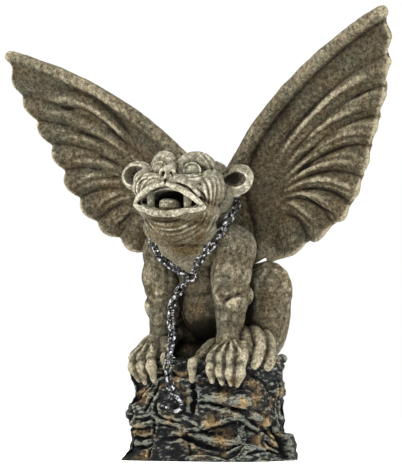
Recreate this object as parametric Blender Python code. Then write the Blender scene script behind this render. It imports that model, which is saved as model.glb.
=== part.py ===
"""A garden gargoyle of cast stone: a winged beast crouching on a rugged rock, with an iron chain.

The beast, its wings and the rock are one casting. Each chain link is a piece of its own.
The figure faces -Y, its left side is +X, and the origin is in the middle of the rock's flat foot.
"""

import math
import random

import bmesh
import bpy
import numpy as np
from mathutils import Matrix, Vector, noise
from mathutils.bvhtree import BVHTree

# Driving sizes, in metres.
FIGURE_HEIGHT = 0.357
ROCK_WIDTH = 0.168
ROCK_DEPTH = 0.122
ROCK_HEIGHT = 0.112
ROCK_FLARE = 0.007
LINK_PITCH = 0.0100
LINK_WIRE = 0.0027
RING_RADIUS = 0.0075
HOOK_RADIUS = 0.0095
HOOK_WIRE = 0.0034
WING_THICKNESS = 0.0068

# Fits.
LINK_SLACK = 0.0010
CHAIN_CLEARANCE = 0.0007

# Fineness of the casting.
CLAY_GRAIN = 0.0021
CASTING_SHARE = 0.021
SEED = 11

# The boulders that stand out of the rock's faces.
BOULDER_COURSES = (0.10, 0.36, 0.62, 0.84)
BOULDERS_ROUND = 9
BOULDER_SIZE = (0.060, 0.034, 0.031)
BOULDER_SINK = 0.018
BOULDER_ROUNDING = 0.007
ROCK_CUTS = 9
ROCK_CORNER = 0.45
FOOT_SPARE = 0.012

# The figure is drawn on a height of 357 units above the rock, so that one unit is its own share.
UNIT = FIGURE_HEIGHT / 357
# Hands and feet follow the rock's edges: these are its sizes on the drawing, in units.
DRAWN_ROCK_HALF_DEPTH = 61
DRAWN_ROCK_HALF_WIDTH = 84

# The drawing of the figure, in units: +X is the beast's left, z is from the top of the rock.
HEAD_MIDDLE = (0, -50, 180)
HEAD_ROLL = 5.5
EAR_PLACE = (64, -46, 193.5)
EAR_TURN = (-8, 0, -14)
FINGER_RADII = (7.5, 7.2, 5.8, 6.6, 5.4, 2.8)
TOE_RADII = (9, 8, 7.5, 5, 3)
# Each finger's root, knuckle, middle joint and claw.
LEFT_HAND = (
    ((28, -38, 12), (20, -48, 2), (15, -59, -8), (16, -62, -27)),
    ((40, -40, 10), (36, -54, -3), (39, -62, -15), (40, -61, -28)),
    ((48, -40, 11), (48, -55, -3), (51, -63, -18), (52, -61, -30)),
    ((56, -40, 11), (60, -55, -3), (63, -63, -20), (62, -60, -31)),
    ((64, -38, 9), (71, -52, -2), (73, -60, -20), (69, -59, -32)),
)
RIGHT_HAND = (
    ((-32, -38, 16), (-24, -48, 8), (-20, -57, -2), (-18, -59, -13)),
    ((-38, -40, 12), (-39, -54, 2), (-35, -62, -11), (-32, -61, -27)),
    ((-46, -40, 12), (-51, -54, 0), (-48, -61, -12), (-44, -60, -29)),
    ((-54, -38, 11), (-62, -52, 0), (-60, -59, -12), (-52, -59, -26)),
)
LEFT_TOES = (
    ((60, -8, 12), (63, -22, 13), (70, -35, 0), (74, -41, -8), (75, -42, -15)),
    ((70, 0, 14), (79, -15, 13), (83, -30, -5), (82, -36, -16), (82, -37, -22)),
    ((78, 6, 10), (88, -2, 6), (91, -13, -8), (90, -18, -18), (89, -20, -24)),
)

# The chain: a ring on the chest, a loop from its right round the neck to its left, and a hanging run.
RING_PLACE = (2, -47, 86)
RING_LIFT = 0.0032
RING_SETTLING = 20
NECK_ROUTE = (
    (-9, -45, 98), (-27, -42, 115), (-48, -39, 133), (-52, -22, 150), (-46, -6, 166), (-36, 4, 182),
    (-20, 9, 196), (0, 10, 200), (20, 9, 195), (36, 2, 182), (45, -10, 172), (45, -26, 160),
    (40, -32, 140), (28, -40, 119), (15, -45, 100),
)  # fmt: skip
HANGING_ROUTE = (
    (-6, -48, 74), (-15, -46, 63), (-24, -43, 52), (-24, -43, 40), (-17, -46, 29), (-9, -52, 17),
    (-3, -62, 5), (0, -68, -10), (-1, -68, -24), (-4, -69, -38), (-4, -69, -46),
)  # fmt: skip
LINK_LEAN = 45
LEAN_STEP = 9
LINK_STEPS = 10
WIRE_SIDES = 5
HOOK_START = 140
HOOK_SWEEP = -300
HOOK_STEPS = 12
HOOK_SPIKE = 1.6
HOOK_SWINGS = 60
SETTLING_TURNS = 60
LENGTH_TURNS = 10
MOST_BEND = 0.0022
GUIDE_SHARE = 0.22


def figure_point(x, y, z):
    """A place on the drawing of the figure, with z from the top of the rock, in metres."""
    return Vector((x * UNIT, y * UNIT, ROCK_HEIGHT + z * UNIT))


def grip_shift():
    """How far the hands and feet move when the rock's edges move away from the drawing."""
    ahead = ROCK_DEPTH / 2 - DRAWN_ROCK_HALF_DEPTH * UNIT
    aside = ROCK_WIDTH / 2 - DRAWN_ROCK_HALF_WIDTH * UNIT
    return aside, ahead


def clear_scene():
    for obj in list(bpy.data.objects):
        bpy.data.objects.remove(obj, do_unlink=True)


def material(name, colour, roughness, metallic):
    made = bpy.data.materials.new(name)
    made.use_nodes = True
    shader = made.node_tree.nodes["Principled BSDF"]
    shader.inputs["Base Color"].default_value = (*colour, 1)
    shader.inputs["Roughness"].default_value = roughness
    shader.inputs["Metallic"].default_value = metallic
    return made


class Clay:
    """Lumps of clay pressed together. They become one skin when the casting is made."""

    def __init__(self):
        self.bm = bmesh.new()

    def ball(self, centre, radii, turn=(0, 0, 0), fineness=3):
        """An egg with its three radii in units, turned by degrees about X, Y and Z."""
        rotation = Matrix.Rotation(math.radians(turn[2]), 4, "Z")
        rotation @= Matrix.Rotation(math.radians(turn[1]), 4, "Y")
        rotation @= Matrix.Rotation(math.radians(turn[0]), 4, "X")
        size = Matrix.Diagonal((radii[0] * UNIT, radii[1] * UNIT, radii[2] * UNIT, 1))
        matrix = Matrix.Translation(figure_point(*centre)) @ rotation @ size
        bmesh.ops.create_icosphere(self.bm, subdivisions=fineness, radius=1, matrix=matrix)

    def limb(self, joints):
        """Round bars between joints, each joint (x, y, z, radius) in units."""
        for x, y, z, radius in joints:
            self.ball((x, y, z), (radius, radius, radius), fineness=2)
        for (*start, r_start), (*end, r_end) in zip(joints, joints[1:]):
            a, b = figure_point(*start), figure_point(*end)
            along = b - a
            if along.length < 1e-6:
                continue
            turn = along.to_track_quat("Z", "Y").to_matrix().to_4x4()
            bmesh.ops.create_cone(
                self.bm,
                cap_ends=True,
                segments=16,
                radius1=r_start * UNIT,
                radius2=r_end * UNIT,
                depth=along.length,
                matrix=Matrix.Translation((a + b) / 2) @ turn,
            )

    def both(self, shape, first, *rest, **more):
        """The same lump on the left and, mirrored, on the right."""
        shape(first, *rest, **more)
        if shape == self.limb:
            self.limb([(-x, y, z, r) for x, y, z, r in first])
        else:
            turn = more.pop("turn", (0, 0, 0))
            x, y, z = first
            self.ball((-x, y, z), *rest, turn=(turn[0], -turn[1], -turn[2]), **more)

    def add(self, bm):
        """Another mesh, pressed on as it is."""
        mesh = bpy.data.meshes.new("lump")
        bm.to_mesh(mesh)
        bm.free()
        self.bm.from_mesh(mesh)
        bpy.data.meshes.remove(mesh)

    def to_object(self, name):
        mesh = bpy.data.meshes.new(name)
        self.bm.to_mesh(mesh)
        self.bm.free()
        obj = bpy.data.objects.new(name, mesh)
        bpy.context.scene.collection.objects.link(obj)
        return obj


def hide_helper(obj):
    obj.hide_render = True
    obj.display_type = "WIRE"


def evaluated_mesh(obj):
    bpy.context.view_layer.update()
    graph = bpy.context.evaluated_depsgraph_get()
    return bpy.data.meshes.new_from_object(obj.evaluated_get(graph))


def skin(obj, grain):
    """One closed skin over all the lumps of an object."""
    remesh = obj.modifiers.new("One skin", "REMESH")
    remesh.mode = "VOXEL"
    remesh.voxel_size = grain
    return remesh


def smoothed(obj, factor, repeats):
    smooth = obj.modifiers.new("Rubbed smooth", "SMOOTH")
    smooth.factor = factor
    smooth.iterations = repeats


def head_masses(clay):
    """Skull, cheeks, muzzle and the baggy throat."""
    clay.ball((0, -32, 172), (46, 42, 28))
    clay.ball((0, -58, 172), (45, 27, 23))
    clay.ball((0, -60, 158), (50, 33, 24), turn=(-14, 0, 0))
    clay.ball((0, -54, 138), (43, 31, 24))
    clay.ball((0, -44, 120), (28, 26, 20))
    clay.ball((0, -38, 107), (15, 14, 12))
    clay.limb([(0, -10, 162, 33), (0, 8, 138, 40)])
    clay.both(clay.ball, (38, -64, 183), (17, 20, 21))
    clay.both(clay.ball, (19, -78, 186), (18, 13, 9))
    clay.both(clay.ball, EAR_PLACE, (19, 9, 19), turn=EAR_TURN)
    clay.both(clay.limb, [(48, -42, 190, 11), (57, -43, 192, 9)])


def head_hollows(clay):
    """The open mouth, the cups of the ears and the eye sockets."""
    clay.ball((0, -92, 163), (40, 32, 11))
    clay.ball((0, -96, 170), (26, 28, 11))
    clay.both(clay.ball, (EAR_PLACE[0] + 1, EAR_PLACE[1] - 8, EAR_PLACE[2]), (13.5, 9, 12.5), turn=EAR_TURN)
    clay.both(clay.ball, (21, -77, 199), (11, 9, 9))


def head_features(clay):
    """Brows, eyes, nose, lips, tongue and fangs."""
    clay.both(
        clay.limb,
        [(8, -72, 202, 6), (14, -68, 208, 7), (25, -61, 210, 8), (37, -54, 207, 8), (46, -47, 198, 8)],
    )
    clay.both(clay.ball, (20.6, -70, 197.5), (9.5, 8, 8))
    clay.both(clay.limb, [(11, -73, 197, 2.4), (15, -75, 204, 2.2), (24, -74, 206, 2.2), (30, -71, 201, 2.4)])
    clay.limb([(0, -68, 204, 7), (0, -80, 199, 6.5), (0, -87, 195, 7)])
    clay.both(clay.ball, (5, -88, 195), (6, 5.5, 6))
    clay.both(
        clay.limb,
        [(0, -89, 184, 4), (12, -91, 185, 5), (24, -89, 181, 5), (35, -86, 172, 4.5), (44, -81, 160, 3.5)],
    )
    clay.both(
        clay.limb,
        [(0, -90, 146, 4.5), (12, -90, 147, 4.5), (26, -87, 153, 4), (35, -85, 152, 4), (44, -81, 158, 3.5)],
    )
    clay.ball((-2, -76, 160), (16, 16, 6))
    clay.both(clay.limb, [(23, -83, 150, 6), (22.5, -84, 164, 4.5), (23, -82, 178, 6)])
    for fold in range(3):
        x, y = 37 + 6 * fold, -79 + 8 * fold
        clay.both(clay.limb, [(x, y, 194, 3), (x + 6, y + 5, 180, 4), (x + 4, y + 6, 164, 3)])


def rolled(bm):
    """The head leans a little to the beast's left."""
    middle = figure_point(*HEAD_MIDDLE)
    bmesh.ops.rotate(
        bm, verts=bm.verts[:], cent=middle, matrix=Matrix.Rotation(math.radians(HEAD_ROLL), 3, "Y")
    )
    return bm


def head():
    """The whole head, its hollows cut before lips, tongue and fangs go in."""
    masses = Clay()
    head_masses(masses)
    solid = masses.to_object("head masses")
    hollows = Clay()
    head_hollows(hollows)
    cutter = hollows.to_object("head hollows")
    for helper in (solid, cutter):
        skin(helper, CLAY_GRAIN)
        hide_helper(helper)
    cut = solid.modifiers.new("Hollows", "BOOLEAN")
    cut.operation = "DIFFERENCE"
    cut.object = cutter
    clay = Clay()
    clay.bm.from_mesh(evaluated_mesh(solid))
    head_features(clay)
    return rolled(clay.bm)


def torso(clay):
    clay.ball((0, -8, 110), (40, 36, 40))
    clay.ball((0, 14, 126), (47, 32, 38))
    clay.ball((0, 5, 62), (33, 33, 44))
    clay.ball((0, -2, 44), (26, 25, 26))
    clay.limb([(0, 18, 132, 34), (0, 30, 92, 36), (0, 32, 52, 32)])
    clay.ball((0, 30, 34), (54, 30, 36))
    clay.ball((0, 26, 6), (58, 26, 18))
    clay.both(clay.ball, (17, -30, 112), (21, 15, 19))
    clay.both(clay.ball, (44, -20, 116), (25, 24, 27))


def arms(clay, ahead):
    for side, wrist in ((1, 13.5), (-1, 11.5)):
        clay.limb(
            [
                (side * 43, -22, 104, 22.5),
                (side * 42, -26, 82, 21),
                (side * 41, -25, 62, 20),
                (side * 42, -25, 44, 16),
                (side * 42, -27 - ahead / 2, 27, wrist),
                (side * 45, -36 - ahead, 13, wrist),
            ]
        )
        clay.ball((side * 44, -12, 66), (18, 16, 14))


def finger(clay, places, ahead):
    """A bony finger through its root, knuckle, middle joint and claw, each (x, y, z)."""
    root, knuckle, joint, claw = (Vector(place) - Vector((0, ahead, 0)) for place in places)
    bone = knuckle.lerp(joint, 0.5)
    nail = joint.lerp(claw, 0.45)
    steps = (root, knuckle, bone, joint, nail, claw)
    clay.limb([(*place, radius) for place, radius in zip(steps, FINGER_RADII)])


def hands(clay, ahead):
    clay.ball((50, -40 - ahead, 4), (26, 16, 11), turn=(20, 0, 0))
    clay.ball((-46, -40 - ahead, 6), (22, 16, 11), turn=(20, 0, 0))
    for hand in (LEFT_HAND, RIGHT_HAND):
        for places in hand:
            finger(clay, places, ahead)


def hind_legs(clay, aside):
    for side in (1, -1):
        clay.limb(
            [
                (side * 44, 34, 44, 32),
                (side * (58 + aside), 28, 70, 29),
                (side * (60 + aside), 26, 80, 25),
                (side * (63 + aside), 24, 48, 24),
                (side * (65 + aside), 16, 20, 20),
                (side * (66 + aside), 2, 6, 14),
            ]
        )
        clay.ball((side * (70 + aside), -8, 4), (17, 24, 11), turn=(10, 0, side * 24))
        for toe in LEFT_TOES:
            clay.limb([(side * (x + aside), y, z, radius) for (x, y, z), radius in zip(toe, TOE_RADII)])


def curve_through(points, share):
    """A smooth curve through evenly counted points, at a share from 0 to 1 of its run."""
    place = min(max(share, 0), 1) * (len(points) - 1)
    i = min(int(place), len(points) - 2)
    f = place - i
    p = [Vector(points[min(max(j, 0), len(points) - 1)]) for j in range(i - 1, i + 3)]
    return 0.5 * (
        2 * p[1]
        + (p[2] - p[0]) * f
        + (2 * p[0] - 5 * p[1] + 4 * p[2] - p[3]) * f**2
        + (3 * p[1] - p[0] - 3 * p[2] + p[3]) * f**3
    )


# The left wing's lines, from its leading edge (first) to its lower edge (last), in units.
WING_ROOT = ((27, 17, 212), (28, 20, 190), (28, 22, 160), (30, 28, 128), (32, 32, 98))
WING_FAN = (
    (58, 2, 246), (62, 10, 220), (66, 18, 196), (68, 22, 186), (68, 24, 181), (68, 25, 177),
    (68, 26, 173), (68, 27, 169), (68, 28, 163), (64, 31, 142), (52, 35, 110),
)  # fmt: skip
WING_BEND = (
    (131, -19, 317), (134, -8, 298), (137, 0, 279), (144, 7, 266), (150, 13, 245), (136, 18, 225),
    (121, 24, 205), (118, 30, 192), (105, 33, 180), (84, 35, 146), (58, 36, 112),
)  # fmt: skip
WING_RIM = (
    (238, -51, 355), (237, -38, 325), (229, -22, 297), (217, -8, 266), (203, 0, 236), (190, 8, 203),
    (173, 19, 173), (152, 30, 149), (119, 36, 128), (86, 38, 113), (46, 36, 99),
)  # fmt: skip
WING_RIBS = len(WING_RIM) - 1
RIB_RELIEF = 3.4
RIM_SCALLOP = 5


def wing_sheet(along, out):
    """A place on the middle of the left wing: along its rim from 0 to 1, and out from its root."""
    root = curve_through(WING_ROOT, along)
    fan = curve_through(WING_FAN, along)
    bend = curve_through(WING_BEND, along)
    rim = curve_through(WING_RIM, along)
    rib = along * WING_RIBS
    crest = 2 * abs(math.cos(math.pi * rib)) - 1
    last = min(max(WING_RIBS - rib, 0) / 1.5, 1)
    rim = rim + (rim - bend).normalized() * RIM_SCALLOP * (crest - 0.4) * min(rib / 1.5, last)
    join = 0.22
    if out < join:
        place = root.lerp(fan, out / join)
        relief = 0
    else:
        f = (out - join) / (1 - join)
        place = fan * (1 - f) ** 2 + bend * 2 * f * (1 - f) + rim * f**2
        relief = RIB_RELIEF * crest * last * min(max(rib - 0.8, 0) / 1.2, f / 0.45, 1)
    return place + Vector((-0.28, -0.94, 0)) * relief


def wing(clay, side):
    """One wing: a folded sheet with its thickness, and a round bar down its leading edge."""
    across, outward = 80, 34
    bm = bmesh.new()
    made = bmesh.ops.create_grid(bm, x_segments=across, y_segments=outward, size=0.5)
    for vert in made["verts"]:
        place = wing_sheet(vert.co.x + 0.5, vert.co.y + 0.5)
        vert.co = figure_point(side * place.x, place.y, place.z)
    bmesh.ops.recalc_face_normals(bm, faces=bm.faces)
    bmesh.ops.solidify(bm, geom=bm.faces[:], thickness=WING_THICKNESS)
    clay.add(bm)
    bar = []
    for step in range(13):
        share = step / 12
        place = wing_sheet(0, 0.1 + 0.9 * share)
        bar.append((side * place.x, place.y, place.z - 2, 9.5 - 4 * share))
    clay.limb(bar)
    clay.limb([(side * 18, 26, 180, 17), (side * 26, 19, 202, 14), bar[0]])
    clay.limb([(side * 20, 28, 176, 19), (side * 24, 30, 140, 20), (side * 27, 30, 108, 15)])


def rock(clay):
    """The rugged rock, flaring to its foot, as a rough block with boulders set in its faces."""
    chance = random.Random(SEED)
    half_x, half_y = ROCK_WIDTH / 2, ROCK_DEPTH / 2
    block = bmesh.new()
    bmesh.ops.create_cube(block, size=2)
    bmesh.ops.subdivide_edges(block, edges=block.edges[:], cuts=ROCK_CUTS, use_grid_fill=True)
    for vert in block.verts:
        x, y, z = vert.co
        length = math.hypot(x, y) or 1
        plan = (1 - ROCK_CORNER) + ROCK_CORNER * max(abs(x), abs(y)) / length
        height = (z + 1) / 2
        flare = ROCK_FLARE * max(0, 1 - 4 * height)
        inward = 0.96 - 0.05 * height
        lump = 1 + 0.05 * noise.noise(Vector((x * 1.7, y * 1.7, z * 2.5 + 9)))
        vert.co = Vector(
            (
                x * plan * lump * (half_x * inward + flare),
                y * plan * lump * (half_y * inward + flare),
                height * (ROCK_HEIGHT + FOOT_SPARE) - FOOT_SPARE,
            )
        )
    clay.add(block)
    for height in BOULDER_COURSES:
        for step in range(BOULDERS_ROUND):
            angle = math.tau * (step + chance.uniform(-0.25, 0.25)) / BOULDERS_ROUND
            x, y = math.cos(angle), math.sin(angle)
            plan = (abs(x) ** 3.4 + abs(y) ** 3.4) ** (-1 / 3.4)
            size = chance.uniform(0.8, 1.15)
            place = Vector(
                (
                    x * plan * (half_x - BOULDER_SINK),
                    y * plan * (half_y - BOULDER_SINK),
                    ROCK_HEIGHT * (height + chance.uniform(-0.06, 0.06)),
                )
            )
            turn = Matrix.Rotation(angle + math.pi / 2 + chance.uniform(-0.3, 0.3), 4, "Z")
            tilt = Matrix.Rotation(chance.uniform(-0.25, 0.25), 4, "Y")
            shape = Matrix.Diagonal((*(size * side for side in BOULDER_SIZE), 1))
            matrix = Matrix.Translation(place) @ turn @ tilt @ shape
            boulder = bmesh.new()
            bmesh.ops.create_cube(boulder, size=1, matrix=matrix)
            bmesh.ops.bevel(
                boulder, geom=boulder.edges[:], offset=BOULDER_ROUNDING, segments=2, profile=0.5, affect="EDGES"
            )
            clay.add(boulder)


def foot_cutter():
    """A block under the origin: what it takes off leaves the rock's foot flat."""
    bm = bmesh.new()
    size = Matrix.Diagonal((3 * ROCK_WIDTH, 3 * ROCK_DEPTH, 4 * FOOT_SPARE, 1))
    bmesh.ops.create_cube(bm, size=1, matrix=Matrix.Translation((0, 0, -2 * FOOT_SPARE)) @ size)
    clay = Clay()
    clay.add(bm)
    cutter = clay.to_object("foot cutter")
    hide_helper(cutter)
    return cutter


def casting():
    """The beast, its wings and the rock, as one solid with a flat foot."""
    aside, ahead = (shift / UNIT for shift in grip_shift())
    clay = Clay()
    clay.add(head())
    torso(clay)
    arms(clay, ahead)
    hands(clay, ahead)
    hind_legs(clay, aside)
    for side in (1, -1):
        wing(clay, side)
    rock(clay)
    obj = clay.to_object("gargoyle")
    skin(obj, CLAY_GRAIN)
    smoothed(obj, 0.5, 2)
    thin = obj.modifiers.new("Fewer faces", "DECIMATE")
    thin.ratio = CASTING_SHARE
    flat = obj.modifiers.new("Flat foot", "BOOLEAN")
    flat.operation = "DIFFERENCE"
    flat.object = foot_cutter()
    obj.data.materials.append(material("stone", (0.33, 0.30, 0.24), 0.9, 0))
    return obj


def link_mesh(name, half_length, half_width, wire):
    """A long ring of round wire in its XY plane, its long way along Y, centred."""
    bm = bmesh.new()
    turn = Matrix.Rotation(math.pi / 2, 4, "X")
    section = bmesh.ops.create_circle(
        bm, segments=WIRE_SIDES, radius=wire / 2, matrix=Matrix.Translation((half_width, 0, 0)) @ turn
    )
    edges = list({edge for vert in section["verts"] for edge in vert.link_edges})
    bmesh.ops.spin(
        bm,
        geom=section["verts"] + edges,
        cent=(0, 0, 0),
        axis=(0, 0, 1),
        angle=math.tau,
        steps=LINK_STEPS,
        use_merge=True,
    )
    stretch = half_length - half_width
    for vert in bm.verts:
        if abs(vert.co.y) > wire / 4:
            vert.co.y += math.copysign(stretch, vert.co.y)
    bmesh.ops.recalc_face_normals(bm, faces=bm.faces[:])
    mesh = bpy.data.meshes.new(name)
    bm.to_mesh(mesh)
    bm.free()
    mesh.shade_smooth()
    return mesh


def hook_mesh(name, radius, wire):
    """The last link, broken open: most of a ring in its XY plane, with one end bent outwards."""
    bm = bmesh.new()
    start, sweep = math.radians(HOOK_START), math.radians(HOOK_SWEEP)
    turn = Matrix.Rotation(start, 4, "Z")
    upright = Matrix.Translation((radius, 0, 0)) @ Matrix.Rotation(math.pi / 2, 4, "X")
    section = bmesh.ops.create_circle(
        bm, cap_ends=True, segments=WIRE_SIDES + 1, radius=wire / 2, matrix=turn @ upright
    )
    faces = list({face for vert in section["verts"] for face in vert.link_faces})
    swept = bmesh.ops.spin(
        bm, geom=faces, cent=(0, 0, 0), axis=(0, 0, 1), angle=sweep, steps=HOOK_STEPS, use_merge=False
    )
    end = [item for item in swept["geom_last"] if isinstance(item, bmesh.types.BMFace)]
    out = Matrix.Rotation(start + sweep, 3, "Z") @ Vector((0.9, -0.5, 0)) * wire * HOOK_SPIKE
    spike = bmesh.ops.extrude_face_region(bm, geom=end)
    tip = [item for item in spike["geom"] if isinstance(item, bmesh.types.BMVert)]
    bmesh.ops.translate(bm, verts=tip, vec=out)
    middle = sum((vert.co for vert in tip), Vector()) / len(tip)
    bmesh.ops.scale(bm, verts=tip, vec=(0.5, 0.5, 0.5), space=Matrix.Translation(-middle))
    bmesh.ops.delete(bm, geom=end, context="FACES_ONLY")
    bmesh.ops.recalc_face_normals(bm, faces=bm.faces[:])
    mesh = bpy.data.meshes.new(name)
    bm.to_mesh(mesh)
    bm.free()
    mesh.shade_smooth()
    return mesh


class Surface:
    """The casting's skin, asked for the nearest place and the distance out of it."""

    def __init__(self, obj):
        bpy.context.view_layer.update()
        self.tree = BVHTree.FromObject(obj, bpy.context.evaluated_depsgraph_get())

    def outward(self, point):
        """(distance outside the skin, the direction straight out of it) at a point."""
        near, normal, _, _ = self.tree.find_nearest(point)
        away = point - near
        inside = away.dot(normal) < 0
        if away.length < 1e-7:
            return 0.0, normal
        return (-away.length, -away.normalized()) if inside else (away.length, away.normalized())


def link_rolls(count):
    """Each link's roll: a quarter turn from the one before, on edge at both ends and leaning between."""
    rolls = []
    for i in range(count):
        lean = min(LINK_LEAN, LEAN_STEP * min(i, count - 1 - i))
        rolls.append(math.radians(lean) + (math.pi / 2) * (i % 2))
    return rolls


def link_frames(joints, surface, rolls, guide):
    """Each link's matrix: its middle, its long way along the chain, its plane rolled about that."""
    frames = []
    for start, end, roll in zip(joints, joints[1:], rolls):
        middle = (start + end) / 2
        along = (end - start).normalized()
        out = surface.outward(middle)[1]
        guide = guide * (1 - GUIDE_SHARE) + out * GUIDE_SHARE
        guide = (guide - along * guide.dot(along)).normalized()
        side = along.cross(guide).normalized()
        across = guide * math.cos(roll) + side * math.sin(roll)
        face = across.cross(along).normalized()
        rotation = Matrix((across, along, face)).transposed().to_4x4()
        frames.append(Matrix.Translation(middle) @ rotation)
    return frames


def settled(joints, surface, rolls, ring, closed):
    """The chain's joints, moved until links keep their length and lie clear of the skin."""
    joints = [joint.copy() for joint in joints]
    reach = LINK_PITCH / 2 + LINK_WIRE / 2
    half_width = link_half_width()
    corners = [
        Vector((math.cos(a) * half_width, math.sin(a) * reach, 0)) for a in np.linspace(0, math.tau, 8, False)
    ]
    for _ in range(SETTLING_TURNS):
        for i, frame in enumerate(link_frames(joints, surface, rolls, ring.normal)):
            for corner in corners:
                gap, out = surface.outward(frame @ corner)
                lack = LINK_WIRE / 2 + CHAIN_CLEARANCE - gap
                if lack > 0:
                    share = 0.5 + 0.5 * corner.y / reach
                    joints[i] += out * lack * (1 - share)
                    joints[i + 1] += out * lack * share
        for _ in range(LENGTH_TURNS):
            for i in range(len(joints) - 1):
                between = joints[i + 1] - joints[i]
                nudge = between.normalized() * (between.length - LINK_PITCH) / 2
                joints[i] += nudge
                joints[i + 1] -= nudge
            for i in range(1, len(joints) - 1):
                sag = (joints[i - 1] + joints[i + 1]) / 2 - joints[i]
                if sag.length > MOST_BEND:
                    joints[i] += sag * 0.3 * (1 - MOST_BEND / sag.length)
            joints[0] = ring.joint(joints[1])
            if closed:
                joints[-1] = ring.joint(joints[-2])
    return joints


def link_half_width():
    """Half a link's width at the middle of its wire: its neighbour's wire passes through it."""
    return (LINK_WIRE + max(LINK_WIRE, HOOK_WIRE) + LINK_SLACK) / 2


def link_half_length():
    return (LINK_PITCH + LINK_WIRE + LINK_SLACK) / 2


def odd_count(length):
    """The odd number of links nearest to a length, so that a run's two ends roll alike."""
    return 2 * round((length / LINK_PITCH - 1) / 2) + 1


def run_joints(route, count):
    """The joints of a run of links, spread evenly along its route."""
    return [curve_through(route, i / count) for i in range(count + 1)]


def route_length(route):
    places = run_joints(route, 100)
    return sum((b - a).length for a, b in zip(places, places[1:]))


def place_piece(name, mesh, matrix, iron):
    obj = bpy.data.objects.new(name, mesh)
    obj.matrix_world = matrix
    if not mesh.materials:
        mesh.materials.append(iron)
    bpy.context.scene.collection.objects.link(obj)
    return obj


class Ring:
    """The ring on the chest, which holds the ends of all three strands."""

    def __init__(self, surface):
        middle = figure_point(*RING_PLACE)
        for _ in range(RING_SETTLING):
            gap, out = surface.outward(middle)
            middle += out * (LINK_WIRE / 2 + RING_LIFT - gap)
        up = Vector((0, 0, 1))
        up = (up - out * up.dot(out)).normalized()
        rotation = Matrix((up.cross(out).normalized(), up, out)).transposed().to_4x4()
        self.normal = out
        self.frame = Matrix.Translation(middle) @ rotation
        self.to_ring = self.frame.inverted()

    def joint(self, neighbour):
        """Where a link that leads to the next joint hangs in the ring: between the two wires."""
        local = self.to_ring @ neighbour
        wire = self.frame @ (Vector((local.x, local.y, 0)).normalized() * RING_RADIUS)
        return wire + (wire - neighbour).normalized() * (LINK_WIRE + LINK_SLACK) / 2


def laid_run(name, route, surface, ring, closed, mesh, iron):
    """A run of links from the ring, laid on the skin; it gives back its last joint and link."""
    count = odd_count(route_length(route))
    rolls = link_rolls(count)
    joints = settled(run_joints(route, count), surface, rolls, ring, closed)
    frames = link_frames(joints, surface, rolls, ring.normal)
    for i, frame in enumerate(frames):
        place_piece(f"{name}_{i + 1:02d}", mesh, frame, iron)
    return joints[-1], frames[-1]


def chain(surface):
    """A ring on the chest, a loop round the neck, and a hanging run that ends in the broken link."""
    iron = material("iron", (0.045, 0.045, 0.05), 0.45, 0.8)
    link = link_mesh("chain link", link_half_length(), link_half_width(), LINK_WIRE)
    ring = Ring(surface)
    place_piece("chest_ring", link_mesh("ring", RING_RADIUS, RING_RADIUS, LINK_WIRE), ring.frame, iron)
    neck = [figure_point(*place) for place in NECK_ROUTE]
    loop = [ring.joint(neck[0]), *neck, ring.joint(neck[-1])]
    laid_run("neck_link", loop, surface, ring, True, link, iron)
    hanging = [figure_point(*place) for place in HANGING_ROUTE]
    hanging.insert(0, ring.joint(hanging[0]))
    last, frame = laid_run("hanging_link", hanging, surface, ring, False, link, iron)
    place_hook(last, frame, surface, iron)


def place_hook(joint, last_link, surface, iron):
    """The broken link at the end, swung out about its joint until it is clear of the skin."""
    out, along = last_link.col[0].to_3d(), last_link.col[1].to_3d()
    side = out.cross(along).normalized()
    circle = [
        Vector((math.cos(a) * HOOK_RADIUS, math.sin(a) * HOOK_RADIUS, 0)) for a in np.linspace(0, math.tau, 24)
    ]
    for step in range(HOOK_SWINGS):
        down = Matrix.Rotation(-math.radians(step), 3, side) @ along
        lift = side.cross(down).normalized()
        lift = -lift if lift.dot(out) < 0 else lift
        rotation = Matrix(((-down).cross(lift).normalized(), -down, lift)).transposed().to_4x4()
        middle = joint + down * (HOOK_RADIUS - (HOOK_WIRE + LINK_SLACK) / 2)
        frame = Matrix.Translation(middle) @ rotation
        if min(surface.outward(frame @ place)[0] for place in circle) > HOOK_WIRE / 2 + CHAIN_CLEARANCE:
            break
    place_piece("broken_link", hook_mesh("broken link", HOOK_RADIUS, HOOK_WIRE), frame, iron)


def main():
    clear_scene()
    chain(Surface(casting()))


main()
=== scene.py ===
"""A winged gargoyle carved in weathered stone, crouched on its rock, with a worn iron chain about its neck.

Places on the drawing are in units: x to the beast's left, y to its back, z up from the top of the
rock, and one unit is a millimetre. Lines drawn on the front are in the photograph's pixels.
"""

from __future__ import annotations

import logging
import math
from collections.abc import Sequence
from dataclasses import dataclass
from enum import Enum
from typing import ClassVar

import bmesh
import bpy
import numpy as np
from mathutils import Matrix, Vector, noise
from mathutils.bvhtree import BVHTree

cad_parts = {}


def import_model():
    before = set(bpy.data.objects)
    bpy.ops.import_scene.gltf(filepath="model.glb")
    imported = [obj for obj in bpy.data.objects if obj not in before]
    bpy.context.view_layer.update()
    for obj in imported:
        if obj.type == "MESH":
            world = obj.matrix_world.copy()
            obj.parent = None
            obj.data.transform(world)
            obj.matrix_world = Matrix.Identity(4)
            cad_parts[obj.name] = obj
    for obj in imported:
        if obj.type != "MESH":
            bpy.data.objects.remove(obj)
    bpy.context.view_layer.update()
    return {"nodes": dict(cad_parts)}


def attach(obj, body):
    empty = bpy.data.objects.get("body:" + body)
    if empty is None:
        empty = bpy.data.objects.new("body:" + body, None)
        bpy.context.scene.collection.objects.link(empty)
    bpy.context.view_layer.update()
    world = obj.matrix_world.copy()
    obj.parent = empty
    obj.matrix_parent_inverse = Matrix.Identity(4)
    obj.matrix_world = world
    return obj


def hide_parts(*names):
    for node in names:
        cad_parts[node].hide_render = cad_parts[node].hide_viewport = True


LOG = logging.getLogger("gargoyle")
UNIT = 0.001
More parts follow.
